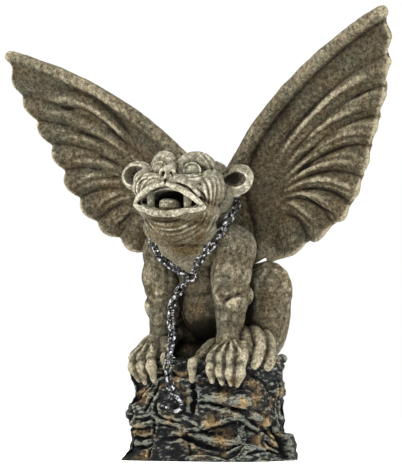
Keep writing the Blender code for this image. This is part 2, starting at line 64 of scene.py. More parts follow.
ROCK_TOP = 0.112
EGG_SPLITS, BEAD_SPLITS, BAR_SIDES = 4, 2, 20
BANK_SHARE, FADE_SHARE = 0.18, 0.3
GROOVE_REACH, SKIN_TURN, LEAST_PULL = 3.2, 2.5, 0.02
LINE_STEP_PX = 1.2
FINE_HOLLOW, MOST_HOLLOW = 0.6, 1.6
SPECKLE = 0.9
WING_TRIANGLES, PIECE_TRIANGLES = 170000, 190000

Point = tuple[float, float, float]
Joint = tuple[float, float, float, float]
Pixel = tuple[float, float]
Points = tuple[Point, ...]
Rows = tuple[tuple[float, ...], ...]
Place = np.ndarray | Vector
Socket = bpy.types.NodeSocket
Colour = tuple[float, float, float]


def spot(x: float, y: float, z: float) -> Vector:
    """A place on the drawing, in metres."""
    return Vector((x * UNIT, y * UNIT, ROCK_TOP + z * UNIT))


def around(points: Sequence, i: int) -> list:
    """The four points around a stretch, with the first and last repeated past the ends."""
    return [points[min(max(j, 0), len(points) - 1)] for j in range(i - 1, i + 3)]


def between(before: Place, here: Place, there: Place, after: Place, f: float) -> Place:
    """A place the share f from here to there, on a smooth curve through all four."""
    bend = 2 * before - 5 * here + 4 * there - after
    pull = 3 * here - before - 3 * there + after
    return 0.5 * (2 * here + (there - before) * f + bend * f**2 + pull * f**3)


def smooth_run(points: Sequence, steps: int) -> list[tuple[float, ...]]:
    """A smooth run through points of any width.

    Args:
        points: The places the run goes through.
        steps: How many stretches are made between two places.

    Returns:
        The places along the run, the first and last as given.
    """
    table = np.array(points, float)
    stretches = range(len(table) - 1)
    run = [tuple(between(*around(table, i), step / steps)) for i in stretches for step in range(steps)]
    return [*run, tuple(table[-1])]


def placed(name: str, data: bpy.types.ID) -> bpy.types.Object:
    """A new object in the scene."""
    made = bpy.data.objects.new(name, data)
    bpy.context.scene.collection.objects.link(made)
    return made


def mesh_of(bm: bmesh.types.BMesh, name: str) -> bpy.types.Mesh:
    """A mesh made from a draft, which is freed."""
    mesh = bpy.data.meshes.new(name)
    bm.to_mesh(mesh)
    bm.free()
    return mesh


@dataclass(frozen=True)
class Viewpoint:
    """Where the photograph was taken from, and what its pixels look at."""

    azimuth: float = 30.0
    distance: float = 1.97
    height: float = 0.05
    pitch: float = 5.79
    focal_px: float = 1790.9
    width_px: int = 402
    height_px: int = 465
    aside_px: float = 7.0
    sensor_mm: float = 36.0

    def matrix(self) -> Matrix:
        """The camera's place and turn."""
        around = math.radians(self.azimuth)
        right = Vector((math.cos(around), math.sin(around), 0))
        place = Vector((math.sin(around), -math.cos(around), 0)) * self.distance
        place.z = self.height
        place -= right * (self.aside_px * self.distance / self.focal_px)
        turn = Matrix.Rotation(around, 4, "Z") @ Matrix.Rotation(math.radians(90 + self.pitch), 4, "X")
        return Matrix.Translation(place) @ turn

    def ray(self, pixel: Pixel) -> tuple[Vector, Vector]:
        """The line of sight through a pixel.

        Args:
            pixel: Its column and row in the photograph.

        Returns:
            The camera's place and the direction of sight.
        """
        matrix = self.matrix()
        across = (pixel[0] - self.width_px / 2) / self.focal_px
        down = (pixel[1] - self.height_px / 2) / self.focal_px
        return matrix.translation, (matrix.to_3x3() @ Vector((across, -down, -1))).normalized()

    def make(self) -> None:
        """Puts the scene's camera here."""
        data = bpy.data.cameras.new("camera")
        camera = placed("camera", data)
        data.sensor_fit = "VERTICAL"
        data.sensor_height = self.sensor_mm
        data.lens = self.sensor_mm * self.focal_px / self.height_px
        camera.matrix_world = self.matrix()
        bpy.context.scene.camera = camera


class Clay:
    """Lumps of clay pressed together, which become one skin."""

    def __init__(self) -> None:
        """Starts with no clay."""
        self.bm = bmesh.new()

    def ball(self, centre: Point, radii: Point, turn: Point = (0, 0, 0)) -> None:
        """An egg.

        Args:
            centre: Its middle on the drawing.
            radii: Its three radii in units.
            turn: Degrees about X, Y and Z.
        """
        lump = bmesh.new()
        rotation = Matrix.Rotation(math.radians(turn[2]), 4, "Z")
        rotation @= Matrix.Rotation(math.radians(turn[1]), 4, "Y")
        rotation @= Matrix.Rotation(math.radians(turn[0]), 4, "X")
        size = Matrix.Diagonal((*(radius * UNIT for radius in radii), 1))
        matrix = Matrix.Translation(spot(*centre)) @ rotation @ size
        bmesh.ops.create_icosphere(lump, subdivisions=EGG_SPLITS, radius=1, matrix=matrix)
        self.add(lump)

    def limb(self, joints: list[Joint], steps: int = 4) -> None:
        """A smooth round bar.

        Args:
            joints: Its places on the drawing, each with a radius.
            steps: How many stretches are made between two places.
        """
        run = smooth_run(joints, steps)
        lump = bmesh.new()
        for *place, radius in run:
            ball = Matrix.Translation(spot(*place))
            bmesh.ops.create_icosphere(lump, subdivisions=BEAD_SPLITS, radius=radius * UNIT, matrix=ball)
        for (*start, r_start), (*end, r_end) in zip(run, run[1:]):
            a, b = spot(*start), spot(*end)
            turn = (b - a).to_track_quat("Z", "Y").to_matrix().to_4x4()
            bmesh.ops.create_cone(
                lump, cap_ends=True, segments=BAR_SIDES, radius1=r_start * UNIT, radius2=r_end * UNIT,
                depth=(b - a).length, matrix=Matrix.Translation((a + b) / 2) @ turn,
            )  # fmt: skip
        self.add(lump)

    def balls(self, centre: Point, radii: Point, turn: Point = (0, 0, 0)) -> None:
        """An egg on the left and its mirror on the right.

        Args:
            centre: The left one's middle on the drawing.
            radii: Its three radii in units.
            turn: Its degrees about X, Y and Z.
        """
        self.ball(centre, radii, turn)
        self.ball((-centre[0], centre[1], centre[2]), radii, (turn[0], -turn[1], -turn[2]))

    def limbs(self, joints: list[Joint], steps: int = 4) -> None:
        """A bar on the left and its mirror on the right.

        Args:
            joints: The left one's places, each with a radius.
            steps: How many stretches are made between two places.
        """
        self.limb(joints, steps)
        self.limb([(-x, y, z, radius) for x, y, z, radius in joints], steps)

    def add(self, bm: bmesh.types.BMesh) -> None:
        """Presses on another mesh as it is, and frees it."""
        mesh = mesh_of(bm, "lump")
        self.bm.from_mesh(mesh)
        bpy.data.meshes.remove(mesh)

    def skin(self, name: str, grain: float, cutter: bpy.types.Object | None = None) -> bpy.types.Object:
        """One closed skin over all the lumps.

        Args:
            name: The piece's name.
            grain: The size of the skin's faces, in metres.
            cutter: What is cut out of it, if anything.

        Returns:
            The piece, as a plain mesh.
        """
        piece = placed(name, mesh_of(self.bm, name))
        remesh = piece.modifiers.new("skin", "REMESH")
        remesh.mode = "VOXEL"
        remesh.voxel_size = grain
        if cutter is not None:
            cut = piece.modifiers.new("cut", "BOOLEAN")
            cut.operation = "DIFFERENCE"
            cut.object = cutter
        return applied(piece)


def applied(piece: bpy.types.Object) -> bpy.types.Object:
    """The piece with its modifiers made part of its mesh."""
    bpy.context.view_layer.update()
    graph = bpy.context.evaluated_depsgraph_get()
    mesh = bpy.data.meshes.new_from_object(piece.evaluated_get(graph))
    old = piece.data
    piece.modifiers.clear()
    piece.data = mesh
    bpy.data.meshes.remove(old)
    mesh.name = piece.name
    return piece


def thinned(piece: bpy.types.Object, triangles: int) -> bpy.types.Object:
    """The piece with so many triangles, most of them where it bends most."""
    piece.data.calc_loop_triangles()
    thin = piece.modifiers.new("thin", "DECIMATE")
    thin.ratio = min(1.0, triangles / len(piece.data.loop_triangles))
    return applied(piece)


def removed(piece: bpy.types.Object) -> None:
    """Takes a helper out of the scene."""
    mesh = piece.data
    bpy.data.objects.remove(piece, do_unlink=True)
    bpy.data.meshes.remove(mesh)


class Relief:
    """A finely faced piece held as arrays, so that it can be carved as soft stone is."""

    def __init__(self, piece: bpy.types.Object) -> None:
        """Reads the piece's mesh.

        Args:
            piece: The piece to carve.
        """
        self.piece = piece
        mesh = piece.data
        self.co = np.empty(len(mesh.vertices) * 3)
        mesh.vertices.foreach_get("co", self.co)
        self.co = self.co.reshape(-1, 3)
        edges = np.empty(len(mesh.edges) * 2, np.int32)
        mesh.edges.foreach_get("vertices", edges)
        self.ends = edges.reshape(-1, 2)
        self.degree = np.maximum(np.bincount(edges, minlength=len(self.co)), 1)
        # painted shade for each vertex, added to its hollow share
        self.soot = np.zeros(len(self.co))
        self.read_normals()
        self.tree = self.make_tree()

    def read_normals(self) -> None:
        """Reads the vertices' normals from the mesh."""
        flat = np.empty(self.co.size, np.float32)
        self.piece.data.vertex_normals.foreach_get("vector", flat)
        self.normals = flat.reshape(-1, 3).astype(float)

    def make_tree(self) -> BVHTree:
        """A search tree of the piece as its mesh now is."""
        bpy.context.view_layer.update()
        return BVHTree.FromObject(self.piece, bpy.context.evaluated_depsgraph_get())

    def write(self) -> None:
        """Puts the moved places into the mesh, and reads its normals again."""
        mesh = self.piece.data
        mesh.vertices.foreach_set("co", self.co.ravel())
        mesh.update()
        self.read_normals()

    def mean(self, values: np.ndarray) -> np.ndarray:
        """Each vertex's mean of its neighbours' values."""
        a, b = self.ends[:, 0], self.ends[:, 1]
        columns = values.reshape(len(self.co), -1)
        sums = [
            np.bincount(a, columns[b, k], len(self.co)) + np.bincount(b, columns[a, k], len(self.co))
            for k in range(columns.shape[1])
        ]
        return (np.array(sums).T / self.degree[:, None]).reshape(values.shape)

    def relax(self, turns: int, share: float = 0.5) -> None:
        """Rubs the skin smooth.

        Args:
            turns: How many times.
            share: How far each vertex goes to its neighbours' mean.
        """
        for _ in range(turns):
            self.co += (self.mean(self.co) - self.co) * share
        self.write()

    def push(self, pick: np.ndarray, height: np.ndarray) -> None:
        """Moves some vertices along their normals, in units."""
        self.co[pick] += self.normals[pick] * (height * UNIT)[:, None]

    def line_gap(self, line: np.ndarray, reach: float) -> tuple[np.ndarray, np.ndarray, np.ndarray]:
        """The vertices near a line.

        Args:
            line: Its places, in metres.
            reach: How near, in metres.

        Returns:
            Which vertices, how far each is, and where along the line it is, from 0 to 1.
        """
        near = ((self.co > line.min(0) - reach) & (self.co < line.max(0) + reach)).all(1)
        pick = np.flatnonzero(near)
        places = self.co[pick]
        best = np.full(len(pick), np.inf)
        along = np.zeros(len(pick))
        for k, (a, b) in enumerate(zip(line, line[1:])):
            step = b - a
            share = np.clip((places - a) @ step / max(step @ step, 1e-12), 0, 1)
            gap = np.linalg.norm(places - a - share[:, None] * step, axis=1)
            nearer = gap < best
            best[nearer] = gap[nearer]
            along[nearer] = (k + share[nearer]) / (len(line) - 1)
        return pick, best, along

    def carve(self, line: np.ndarray, facing: np.ndarray, width: float, depth: float) -> None:
        """A groove along a line, with its two banks raised a little. A negative depth makes a ridge.

        Args:
            line: The places it goes through, in metres.
            facing: The way the skin faces there.
            width: Its half width, in units.
            depth: Its depth, in units.
        """
        reach = width * UNIT
        pick, gap, along = self.line_gap(line, GROOVE_REACH * reach)
        side = np.clip((self.normals[pick] @ facing) * SKIN_TURN, 0, 1)
        ends = np.clip(np.minimum(along, 1 - along) / FADE_SHARE, 0, 1)
        ends = ends * ends * (3 - 2 * ends)
        cut = np.exp(-((gap / reach) ** 2)) - BANK_SHARE * np.exp(-(((gap - 2 * reach) / reach) ** 2))
        self.push(pick, -depth * cut * side * ends)

    def swell(self, centre: Vector, radii: Point, height: float) -> None:
        """A soft swelling, or a dent if the height is negative.

        Args:
            centre: Its middle, in metres.
            radii: How far it reaches along X, Y and Z, in units.
            height: How high it stands, in units.
        """
        away = (self.co - np.array(centre)) / (np.array(radii) * UNIT)
        pull = np.exp(-(away**2).sum(1))
        pick = np.flatnonzero(pull > LEAST_PULL)
        self.push(pick, height * pull[pick])

    def roughen(self, height: float, scale: float, seed: float) -> None:
        """Uneven ground all over.

        Args:
            height: How far it rises and sinks, in units.
            scale: How many waves there are in a metre.
            seed: Which ground it is.
        """
        shift = Vector((seed, seed * 1.7, -seed))
        ground = np.array([noise.noise(Vector(place) * scale + shift) for place in self.co])
        self.push(np.arange(len(self.co)), height * ground)

    def depth_below(self, turns: int) -> np.ndarray:
        """How deep each vertex lies below its rubbed-smooth surroundings, in units."""
        places = self.co.copy()
        for _ in range(turns):
            places += (self.mean(places) - places) * 0.6
        return ((places - self.co) * self.normals).sum(1) / UNIT

    def darken(self, centre: Vector, reach: float, strength: float) -> None:
        """Adds painted shade around a place; a negative strength adds painted light.

        Args:
            centre: Its middle, in metres.
            reach: How far it spreads, in units.
            strength: How dark it is there.
        """
        self.soot += strength * self.nearness(centre, reach)

    def nearness(self, centre: Vector, reach: float) -> np.ndarray:
        """How near each vertex is to a place, from 1 there to 0 far away."""
        return np.exp(-((self.co - np.array(centre)) ** 2).sum(1) / (reach * UNIT) ** 2)

    def note(self, name: str, values: np.ndarray) -> None:
        """Keeps a value for each vertex, for the finish to read."""
        made = self.piece.data.attributes.new(name, "FLOAT", "POINT")
        made.data.foreach_set("value", values.astype(np.float32))

    def note_depths(self, fine: float, broad: float) -> None:
        """Keeps how hollow and how high each vertex stands, each from 0 to 1; the painted shade is added to the hollow
        share, and negative painted shade counts as crest, which is painted light.

        Args:
            fine: The depth, in units, that counts as full in small hollows.
            broad: The same, in wide hollows.
        """
        small = self.depth_below(3) / fine
        middle = self.depth_below(14) / broad
        wide = self.depth_below(60) / (broad * 2.6)
        depth_and_shade = small + middle + wide + self.soot
        # hollow: dark wash and painted shade; crest: rubbed paint and painted light
        self.note("hollow", np.clip(depth_and_shade, 0, MOST_HOLLOW))
        self.note("crest", np.clip(-depth_and_shade, 0, MOST_HOLLOW))


@dataclass(frozen=True)
class Fold:
    """A crease as the photograph shows it, or with a negative depth a ridge."""

    width: float
    depth: float
    path: tuple[Pixel, ...]
    both: bool = False


def folds(*rows: tuple[float, ...]) -> tuple[Fold, ...]:
    """Folds from rows: width, depth, 1 if on both sides, then each place's column and row."""
    return tuple(
        Fold(width, depth, tuple(zip(path[::2], path[1::2])), bool(both)) for width, depth, both, *path in rows
    )


class Pencil:
    """Draws lines on a piece as the photograph shows them."""

    def __init__(self, view: Viewpoint, relief: Relief, turn: Matrix | None = None) -> None:
        """Takes the view and the piece.

        Args:
            view: Where the photograph was taken from.
            relief: The piece that is drawn on.
            turn: How the piece's middle plane is turned from the drawing's.
        """
        self.view = view
        self.relief = relief
        turn = turn or Matrix.Identity(4)
        self.mirror = turn @ Matrix.Diagonal((-1, 1, 1, 1)) @ turn.inverted()

    def draw(self, folds: tuple[Fold, ...]) -> None:
        """Carves folds one after another, some of them on both sides."""
        for fold in folds:
            hits = self.trace(fold.path)
            if len(hits) < 2:
                continue
            line, facing = self.read(hits)
            self.relief.carve(line, facing, fold.width, fold.depth)
            if fold.both:
                hits = [self.relief.tree.find_nearest(self.mirror @ Vector(place)) for place in line]
                self.relief.carve(*self.read(hits), fold.width, fold.depth)

    @staticmethod
    def read(hits: list[tuple]) -> tuple[np.ndarray, np.ndarray]:
        """The places that were hit, and the way the skin faces there."""
        facing = np.array([tuple(hit[1]) for hit in hits]).mean(0)
        return np.array([tuple(hit[0]) for hit in hits]), facing / np.linalg.norm(facing)

    def stain(self, name: str, stains: Rows, base: float) -> None:
        """Keeps a colour's share for each vertex.

        Args:
            name: The colour's name.
            stains: Its patches: column and row in the photograph, reach in units, strength.
            base: Its share elsewhere.
        """
        share = np.full(len(self.relief.co), base)
        for *pixel, reach, strength in stains:
            hit = self.place(pixel)
            if hit is not None:
                share += strength * self.relief.nearness(hit[0], reach)
        self.relief.note(name, np.clip(share, 0, 1))

    def place(self, pixel: Pixel) -> tuple[Vector, Vector] | None:
        """Where a pixel falls on the piece, and the way the skin faces there."""
        start, sight = self.view.ray(pixel)
        hit, normal, _, _ = self.relief.tree.ray_cast(start, sight)
        return None if hit is None else (hit, normal)

    def trace(self, pixels: tuple[Pixel, ...]) -> list[tuple[Vector, Vector]]:
        """Where a line in the photograph falls on the piece.

        Args:
            pixels: Its places in the photograph.

        Returns:
            The places that hit the piece, each with the way the skin faces there.
        """
        span = sum(math.dist(a, b) for a, b in zip(pixels, pixels[1:]))
        steps = max(2, round(span / LINE_STEP_PX / max(len(pixels) - 1, 1)))
        return [hit for hit in map(self.place, smooth_run(pixels, steps)) if hit is not None]


@dataclass
class Shape:
    """What the five carved pieces share."""

    view: Viewpoint
    broad = 1.8
    ochre = 0.0
    grounds: ClassVar[Rows] = ()
    stains: ClassVar[Rows] = ()
    # painted shade: x, y, z, reach and strength; a negative strength paints light
    shadows: ClassVar[Rows] = ()

    def weather(self, pencil: Pencil, side: int = 1) -> Relief:
        """Roughens the carved piece and notes its ochre and its painted shade.

        Args:
            pencil: The pencil that drew on it.
            side: -1 for shadows on the beast's right.

        Returns:
            The piece.
        """
        relief = pencil.relief
        for height, scale, seed in self.grounds:
            relief.roughen(height, scale, seed)
        relief.co[:, 2] = np.maximum(relief.co[:, 2], 0)
        relief.write()
        pencil.stain("ochre", self.stains, self.ochre)
        # painted shade around the listed places; a negative strength paints light
        for x, y, z, reach, strength in self.shadows:
            relief.darken(spot(side * x, y, z), reach, strength)
        return relief


class Side(Enum):
    """A side of the beast, as the sign of its x."""

    LEFT = 1
    RIGHT = -1


FACE_FOLDS = folds(
    (1.5, 0.9, 1, 199.5, 152.5, 205, 157, 209.7, 163.2, 212, 169.2, 211.3, 173.4),
    (1.4, 0.4, 1, 204.6, 153.1, 211.7, 157.1, 216.8, 162.5, 219.8, 168.3, 219.3, 172.3),
    (1.5, 1.5, 1, 201, 178.4, 204.9, 181.4, 207.5, 187.5, 208.6, 194.6, 209.1, 201.8, 207.7, 208),
    (1.4, 0.8, 1, 206.8, 175.4, 211.1, 180.4, 212.9, 187.5, 212.9, 194.6, 212, 202.7, 210.4, 209.8),
    (1.4, 0.8, 1, 212.2, 174.3, 215.9, 179.5, 217.4, 186.6, 216.8, 194.6, 215, 203.6, 212.4, 212.5),
    (1.4, 0.4, 1, 217.1, 173.9, 220.9, 180.4, 222.2, 188.4, 220.9, 197.3, 218, 207.1, 214.4, 215.2),
    (1.9, 1.5, 1, 194.5, 183.9, 197.9, 188.4, 201.9, 192.7, 205.5, 198.2, 207.5, 204.5),
    (1.1, 1.1, 0, 172, 182.6, 177.4, 183, 183.6, 185.4, 189, 187.9, 193.4, 192.9, 197.9, 198.7, 202.4, 203.6),
    (1.1, 0.9, 0, 162.2, 181.4, 157.7, 178.6, 152.8, 178.2, 148.8, 180.4, 145.4, 183.9, 143, 188.4, 141.2, 192.9),
    (1, 0.7, 0, 136.7, 182.6, 139, 178.6, 143.4, 175.9, 148.8, 176.8),
    (1, 0.7, 0, 138.1, 185.7, 141.2, 181.2, 146.1, 179, 151.9, 179.9),
    (1.2, 1.1, 0, 165.8, 178.4, 165, 181.2, 164.7, 184.4),
    (4.5, 1.1, 0, 176.6, 155.4, 176.6, 161.6, 178.4, 167.9, 180, 173.4),
    (1.1, 0.7, 0, 183.6, 176.1, 189.9, 177.2, 197.9, 176.4, 205, 174.3),
    (1.2, 0.6, 0, 148.8, 216.5, 155.9, 220.5, 164.9, 221.7, 175.6, 220.7, 184.5, 217.1),
    (1.2, 0.4, 0, 147, 220.1, 154.1, 225.2, 164, 227.5, 175.6, 226.6, 186.3, 222.5, 193.4, 218),
    (1.4, 0.9, 0, 151.5, 225.9, 160.4, 230.8, 172, 232, 182.7, 229.6, 192.5, 224.3, 199.2, 220.1),
    (1.2, 0.4, 0, 155.9, 233, 164.9, 236.3, 175.6, 236.3, 186.3, 233.2, 196.1, 227.9, 202.4, 222.5),
    (1.4, 0.6, 0, 162.2, 239.3, 170.2, 242, 179.1, 241.1, 189.9, 236.6, 198.8, 230.5, 205, 224.3),
    (1.2, 0.3, 0, 164.9, 245.5, 173.8, 247.3, 184.5, 244.6, 193.4, 239.3, 201.5, 233),
    (1.2, 0.7, 0, 207.5, 210.7, 205.9, 216.1, 203.4, 221.4, 199.9, 227),
    (1.2, 0.4, 0, 212.2, 212.9, 210.4, 219.6, 206.8, 226.8, 201.6, 233.9),
    (1.4, 0.7, 0, 216.8, 211.6, 214.9, 220.5, 210.6, 229.5, 204.3, 238.4),
    (1.2, 0.3, 0, 221.1, 207.1, 220.2, 217.9, 215.9, 228.6, 209.7, 239.3),
    (1.2, 0.6, 0, 141.2, 212.5, 146.1, 220.5, 151.5, 227.7, 157.7, 234.1),
    (1.2, 0.3, 0, 144.3, 218.3, 148.8, 225.9, 155, 233.2, 161.3, 240.2),
)  # fmt: skip


class Head(Shape):
    """The head: heavy brows, round eyes, snub nose, wide open mouth, bat ears and a baggy throat."""

    grain = 0.0009
    masses_grain = 1.4 * grain
    ochre = 0.12
    grounds = ((0.3, 190, 3), (0.5, 60, 8))
    middle = (0, -50, 180)
    roll = 5.5
    ear, ear_turn = (64, -46, 193.5), (-8, 0, -14)
    eye = (20.6, -71.5, 198)
    nostrils = ((161.8, 173.2), (170.3, 172.5))
    # the nostril's dent radii, its depth, and the painted shade in it: reach and strength
    nostril, nostril_depth, nostril_soot = (2.5, 4.5, 2.7), 6.0, (2.4, 3.0)
    lid_steps, lid_start, lid_turn = 9, -8, 24.5
    lid_wide, lid_high, lid_back = 9.6, 9, 2.0
    shadows = (
        (0, -60, 166, 15, 1.8), (-14, -66, 165, 11, 1.0), (16, -66, 166, 11, 1.2), (34, -74, 164, 5, 1.0),
        (-33, -74, 163, 6, 1.0), (24, -82, 163, 5, 0.4), (-21, -82, 163, 5, 0.4), (58, -44, 193, 9, 0.8),
        (-64, -44, 197, 9, 0.7), (4, -30, 92, 16, 0.5), (11, -66, 200, 4, 0.6), (4, -72, 116, 24, 0.3),
        (46, -56, 164, 14, 0.3), (30, -62, 128, 14, 0.2),
    )  # fmt: skip
    stains = (
        (172, 236, 24, 1), (150, 225, 16, 0.8), (202, 226, 16, 0.9), (214, 198, 10, 0.6),
        (190, 245, 16, 0.8), (206, 212, 9, 0.5),
        (235, 182, 9, 0.8), (141, 184, 8, 0.5), (166, 205, 12, 0.5), (128, 172, 9, 0.6),
    )  # fmt: skip

    def masses(self, clay: Clay) -> None:
        """Skull, cheeks, muzzle, ears and the baggy throat."""
        clay.ball((0, -32, 172), (46, 42, 28))
        clay.ball((0, -58, 172), (45, 27, 23))
        clay.ball((0, -60, 158), (49, 32, 23), turn=(-14, 0, 0))
        clay.ball((0, -54, 138), (43, 31, 24))
        clay.ball((2, -45, 120), (30, 27, 20))
        clay.ball((5, -41, 108), (20, 18, 14))
        clay.ball((8, -40, 99), (12, 10, 9))
        clay.limb([(0, -20, 166, 34), (0, -6, 150, 34)])
        clay.balls((40, -62, 182), (15, 19, 20))
        clay.ball((-44, -66, 187), (11, 10, 12))
        clay.balls((30, -45, 199), (18, 16, 14))
        clay.balls((20, -78, 188), (18, 12, 8))
        clay.balls(self.ear, (19, 9, 17), self.ear_turn)
        clay.limbs([(48, -42, 190, 12), (57, -43, 192, 9)])
        clay.limbs([(44, -46, 176, 9), (54, -47, 180, 7.5), (64, -48, 180, 5.5)])

    def hollows(self, clay: Clay) -> None:
        """The open mouth, the cups of the ears and the eye sockets."""
        clay.ball((0, -92, 164), (38, 30, 8.5))
        clay.ball((0, -98, 169.5), (20, 27, 8.5))
        clay.ball((0, -82, 165), (25, 30, 11))
        x, y, z = self.ear
        clay.ball((x - 1.5, y - 8, z - 0.5), (15, 9.5, 8.4), self.ear_turn)
        clay.ball((-x, y - 8, z), (14, 9.5, 11.5), (self.ear_turn[0], 0, -self.ear_turn[2]))
        clay.balls((20.5, -79, 199.5), (11, 10, 9))

    def features(self, clay: Clay) -> None:
        """Brows, eyes, nose, lips, tongue and fangs."""
        clay.limbs(
            [(5.5, -73, 199, 4.5), (7.5, -71, 208.5, 6), (15, -67, 212.5, 7.2), (24.5, -62, 212.5, 7.6),
             (33, -57, 206.5, 7), (38, -53, 197, 5.5)]
        )  # fmt: skip
        x, y, z = self.eye
        clay.balls(self.eye, (8, 6.6, 7.2))
        lid = []
        for step in range(self.lid_steps):
            angle = math.radians(self.lid_start + self.lid_turn * step)
            out, up = math.cos(angle), math.sin(angle)
            lid.append((x + self.lid_wide * out, y - self.lid_back + 1.5 * out, z + self.lid_high * up, 1.2))
        clay.limbs(lid, 2)
        clay.limbs([(9, -76, 191, 3.4), (20, -80, 190.5, 3.8), (32, -75, 192, 4.2)])
        clay.limb([(0, -68, 204, 5.5), (0, -78, 201.5, 5), (0, -85, 198, 6)])
        clay.ball((0, -87, 195.5), (8.2, 6.5, 7.2))
        clay.balls((5.4, -89, 193.6), (4.6, 5, 5))
        clay.ball((0, -92, 190.5), (2.3, 3, 4))
        clay.limbs(
            [(1.2, -91, 182, 2.6), (8, -92, 180.5, 3.2), (17.8, -91, 177.4, 3.4), (26.6, -89, 172.8, 3.3),
             (35.8, -86, 167, 3.0), (42, -80.5, 160.5, 2.6)], 5
        )  # fmt: skip
        clay.limbs([(5, -87, 186.5, 5.5), (13, -86.5, 186, 7.4), (24, -82.5, 183, 7.8), (33, -78, 176.5, 7)])
        clay.limbs(
            [(0, -91, 149.6, 3.9), (14, -90.5, 150.8, 3.9), (25.5, -88.5, 154.2, 3.3), (35, -86, 155.6, 3.0),
             (43, -80, 159.5, 2.6)], 5
        )  # fmt: skip
        clay.ball((-1.5, -73, 159.5), (12.5, 15, 7.5))
        clay.ball((-1.5, -75, 163), (12, 12, 4.5))
        clay.limb([(24.5, -79, 152, 4.6), (24.5, -82.5, 160, 4), (23, -81, 174, 5.2)])
        clay.limb([(-21, -79, 152, 4.6), (-21.5, -82.5, 160, 4), (-23, -81, 174, 5.2)])

    def turned(self, bm: bmesh.types.BMesh) -> bmesh.types.BMesh:
        """The head's mesh, leaning a little to the beast's left."""
        turn = Matrix.Rotation(math.radians(self.roll), 3, "Y")
        bmesh.ops.rotate(bm, verts=bm.verts[:], cent=spot(*self.middle), matrix=turn)
        return bm

    def build(self) -> Relief:
        """Makes the head.

        Returns:
            The carved head.
        """
        hollow = Clay()
        self.hollows(hollow)
        cutter = hollow.skin("head hollows", self.masses_grain)
        masses = Clay()
        self.masses(masses)
        solid = masses.skin("head masses", self.masses_grain, cutter)
        clay = Clay()
        clay.bm.from_mesh(solid.data)
        self.features(clay)
        self.turned(clay.bm)
        head = clay.skin("head", self.grain)
        removed(solid)
        removed(cutter)
        relief = Relief(head)
        relief.relax(4)
        return self.carve(relief)

    def carve(self, relief: Relief) -> Relief:
        """Cuts folds, wrinkles and nostrils.

        Args:
            relief: The smooth head.

        Returns:
            The carved head.
        """
        middle = spot(*self.middle)
        turn = Matrix.Translation(middle) @ Matrix.Rotation(math.radians(self.roll), 4, "Y")
        pencil = Pencil(self.view, relief, turn @ Matrix.Translation(-middle))
        pencil.draw(FACE_FOLDS)
        for pixel in self.nostrils:
            hit = pencil.place(pixel)
            if hit is not None:
                # painted shade in the nostril
                relief.darken(hit[0], *self.nostril_soot)
                relief.swell(hit[0], self.nostril, -self.nostril_depth)
        relief.write()
        relief.relax(1, 0.3)
        return self.weather(pencil)


BODY_FOLDS = folds(
    (2.7, 1.4, 1, 220.7, 304.6, 228.7, 298.9, 236.8, 294.9, 244.8, 292.9),
    (3.9, 1.2, 0, 215.5, 285.1, 220.7, 294.3, 227.6, 298, 233.3, 294.3),
    (2.1, 0.7, 0, 233.3, 301.2, 231, 310.4, 228.7, 321.8, 228.2, 331),
    (2.7, 0.9, 0, 218.4, 256.4, 214.4, 267.9, 212.7, 279.4),
    (2.7, 1, 0, 164.4, 259.9, 167.3, 271.3, 167.9, 282.8, 165.6, 294.3),
    (2.4, 0.9, 0, 148.4, 292, 156.4, 296.6, 163.3, 295.7),
    (1.7, -1, 1, 225.9, 339.1, 217.8, 346, 211.7, 352.3),
    (1.7, -1, 1, 228.5, 339.1, 224.4, 346, 221.4, 351.7),
    (1.7, -1, 1, 231, 339.1, 231, 346, 231.5, 351.7),
    (1.7, -1, 1, 233.3, 338.5, 237.3, 346, 241.6, 352.8),
    (2.7, 0.8, 1, 283.3, 294.3, 285.2, 310.4, 281.8, 327.6, 276, 340.2),
    (3.6, 0.9, 1, 267.8, 267.9, 263.8, 281.7, 262, 298.9, 259.7, 317.3),
    (2.4, 0.8, 0, 184, 294.3, 182.2, 308.1, 187.4, 321.8, 196.6, 331),
)  # fmt: skip


FINGER_RADII = (7.4, 6.6, 4.8, 6.2, 4.6, 3.4)
TOE_RADII = (8.5, 7.6, 5.8, 6.6, 4.4)
LEFT_HAND = (
    ((28, -38, 12), (20, -48, 2), (15, -59, -8), (16, -62, -27)),
    ((40, -40, 10), (36, -54, -3), (39, -62, -15), (40, -61, -28)),
    ((48, -40, 11), (48, -55, -3), (51, -63, -18), (52, -61, -30)),
    ((56, -40, 11), (60, -55, -3), (63, -63, -20), (62, -60, -31)),
    ((64, -38, 9), (71, -52, -2), (73, -60, -20), (69, -59, -32)),
)
RIGHT_HAND = (
    ((-32, -38, 16), (-24, -48, 8), (-20, -57, -2), (-18, -59, -13)),
    ((-38, -40, 12), (-39, -54, 2), (-35, -62, -11), (-32, -61, -27)),
    ((-46, -40, 12), (-51, -54, 0), (-48, -61, -12), (-44, -60, -29)),
    ((-54, -38, 11), (-62, -52, 0), (-60, -59, -12), (-52, -59, -26)),
)
LEFT_TOES = (
    ((45.5, -4, 26), (58, -20, 20), (66, -30, 12), (69, -36, 4), (69, -39, -4)),
    ((56.7, 0, 26), (73, -18, 19.5), (81, -28, 11), (82, -36, 0), (80, -41, -11)),
    ((68.6, 4, 23), (82, -12, 14.5), (89, -20, 5), (91, -26, -5), (90, -30, -13)),
)


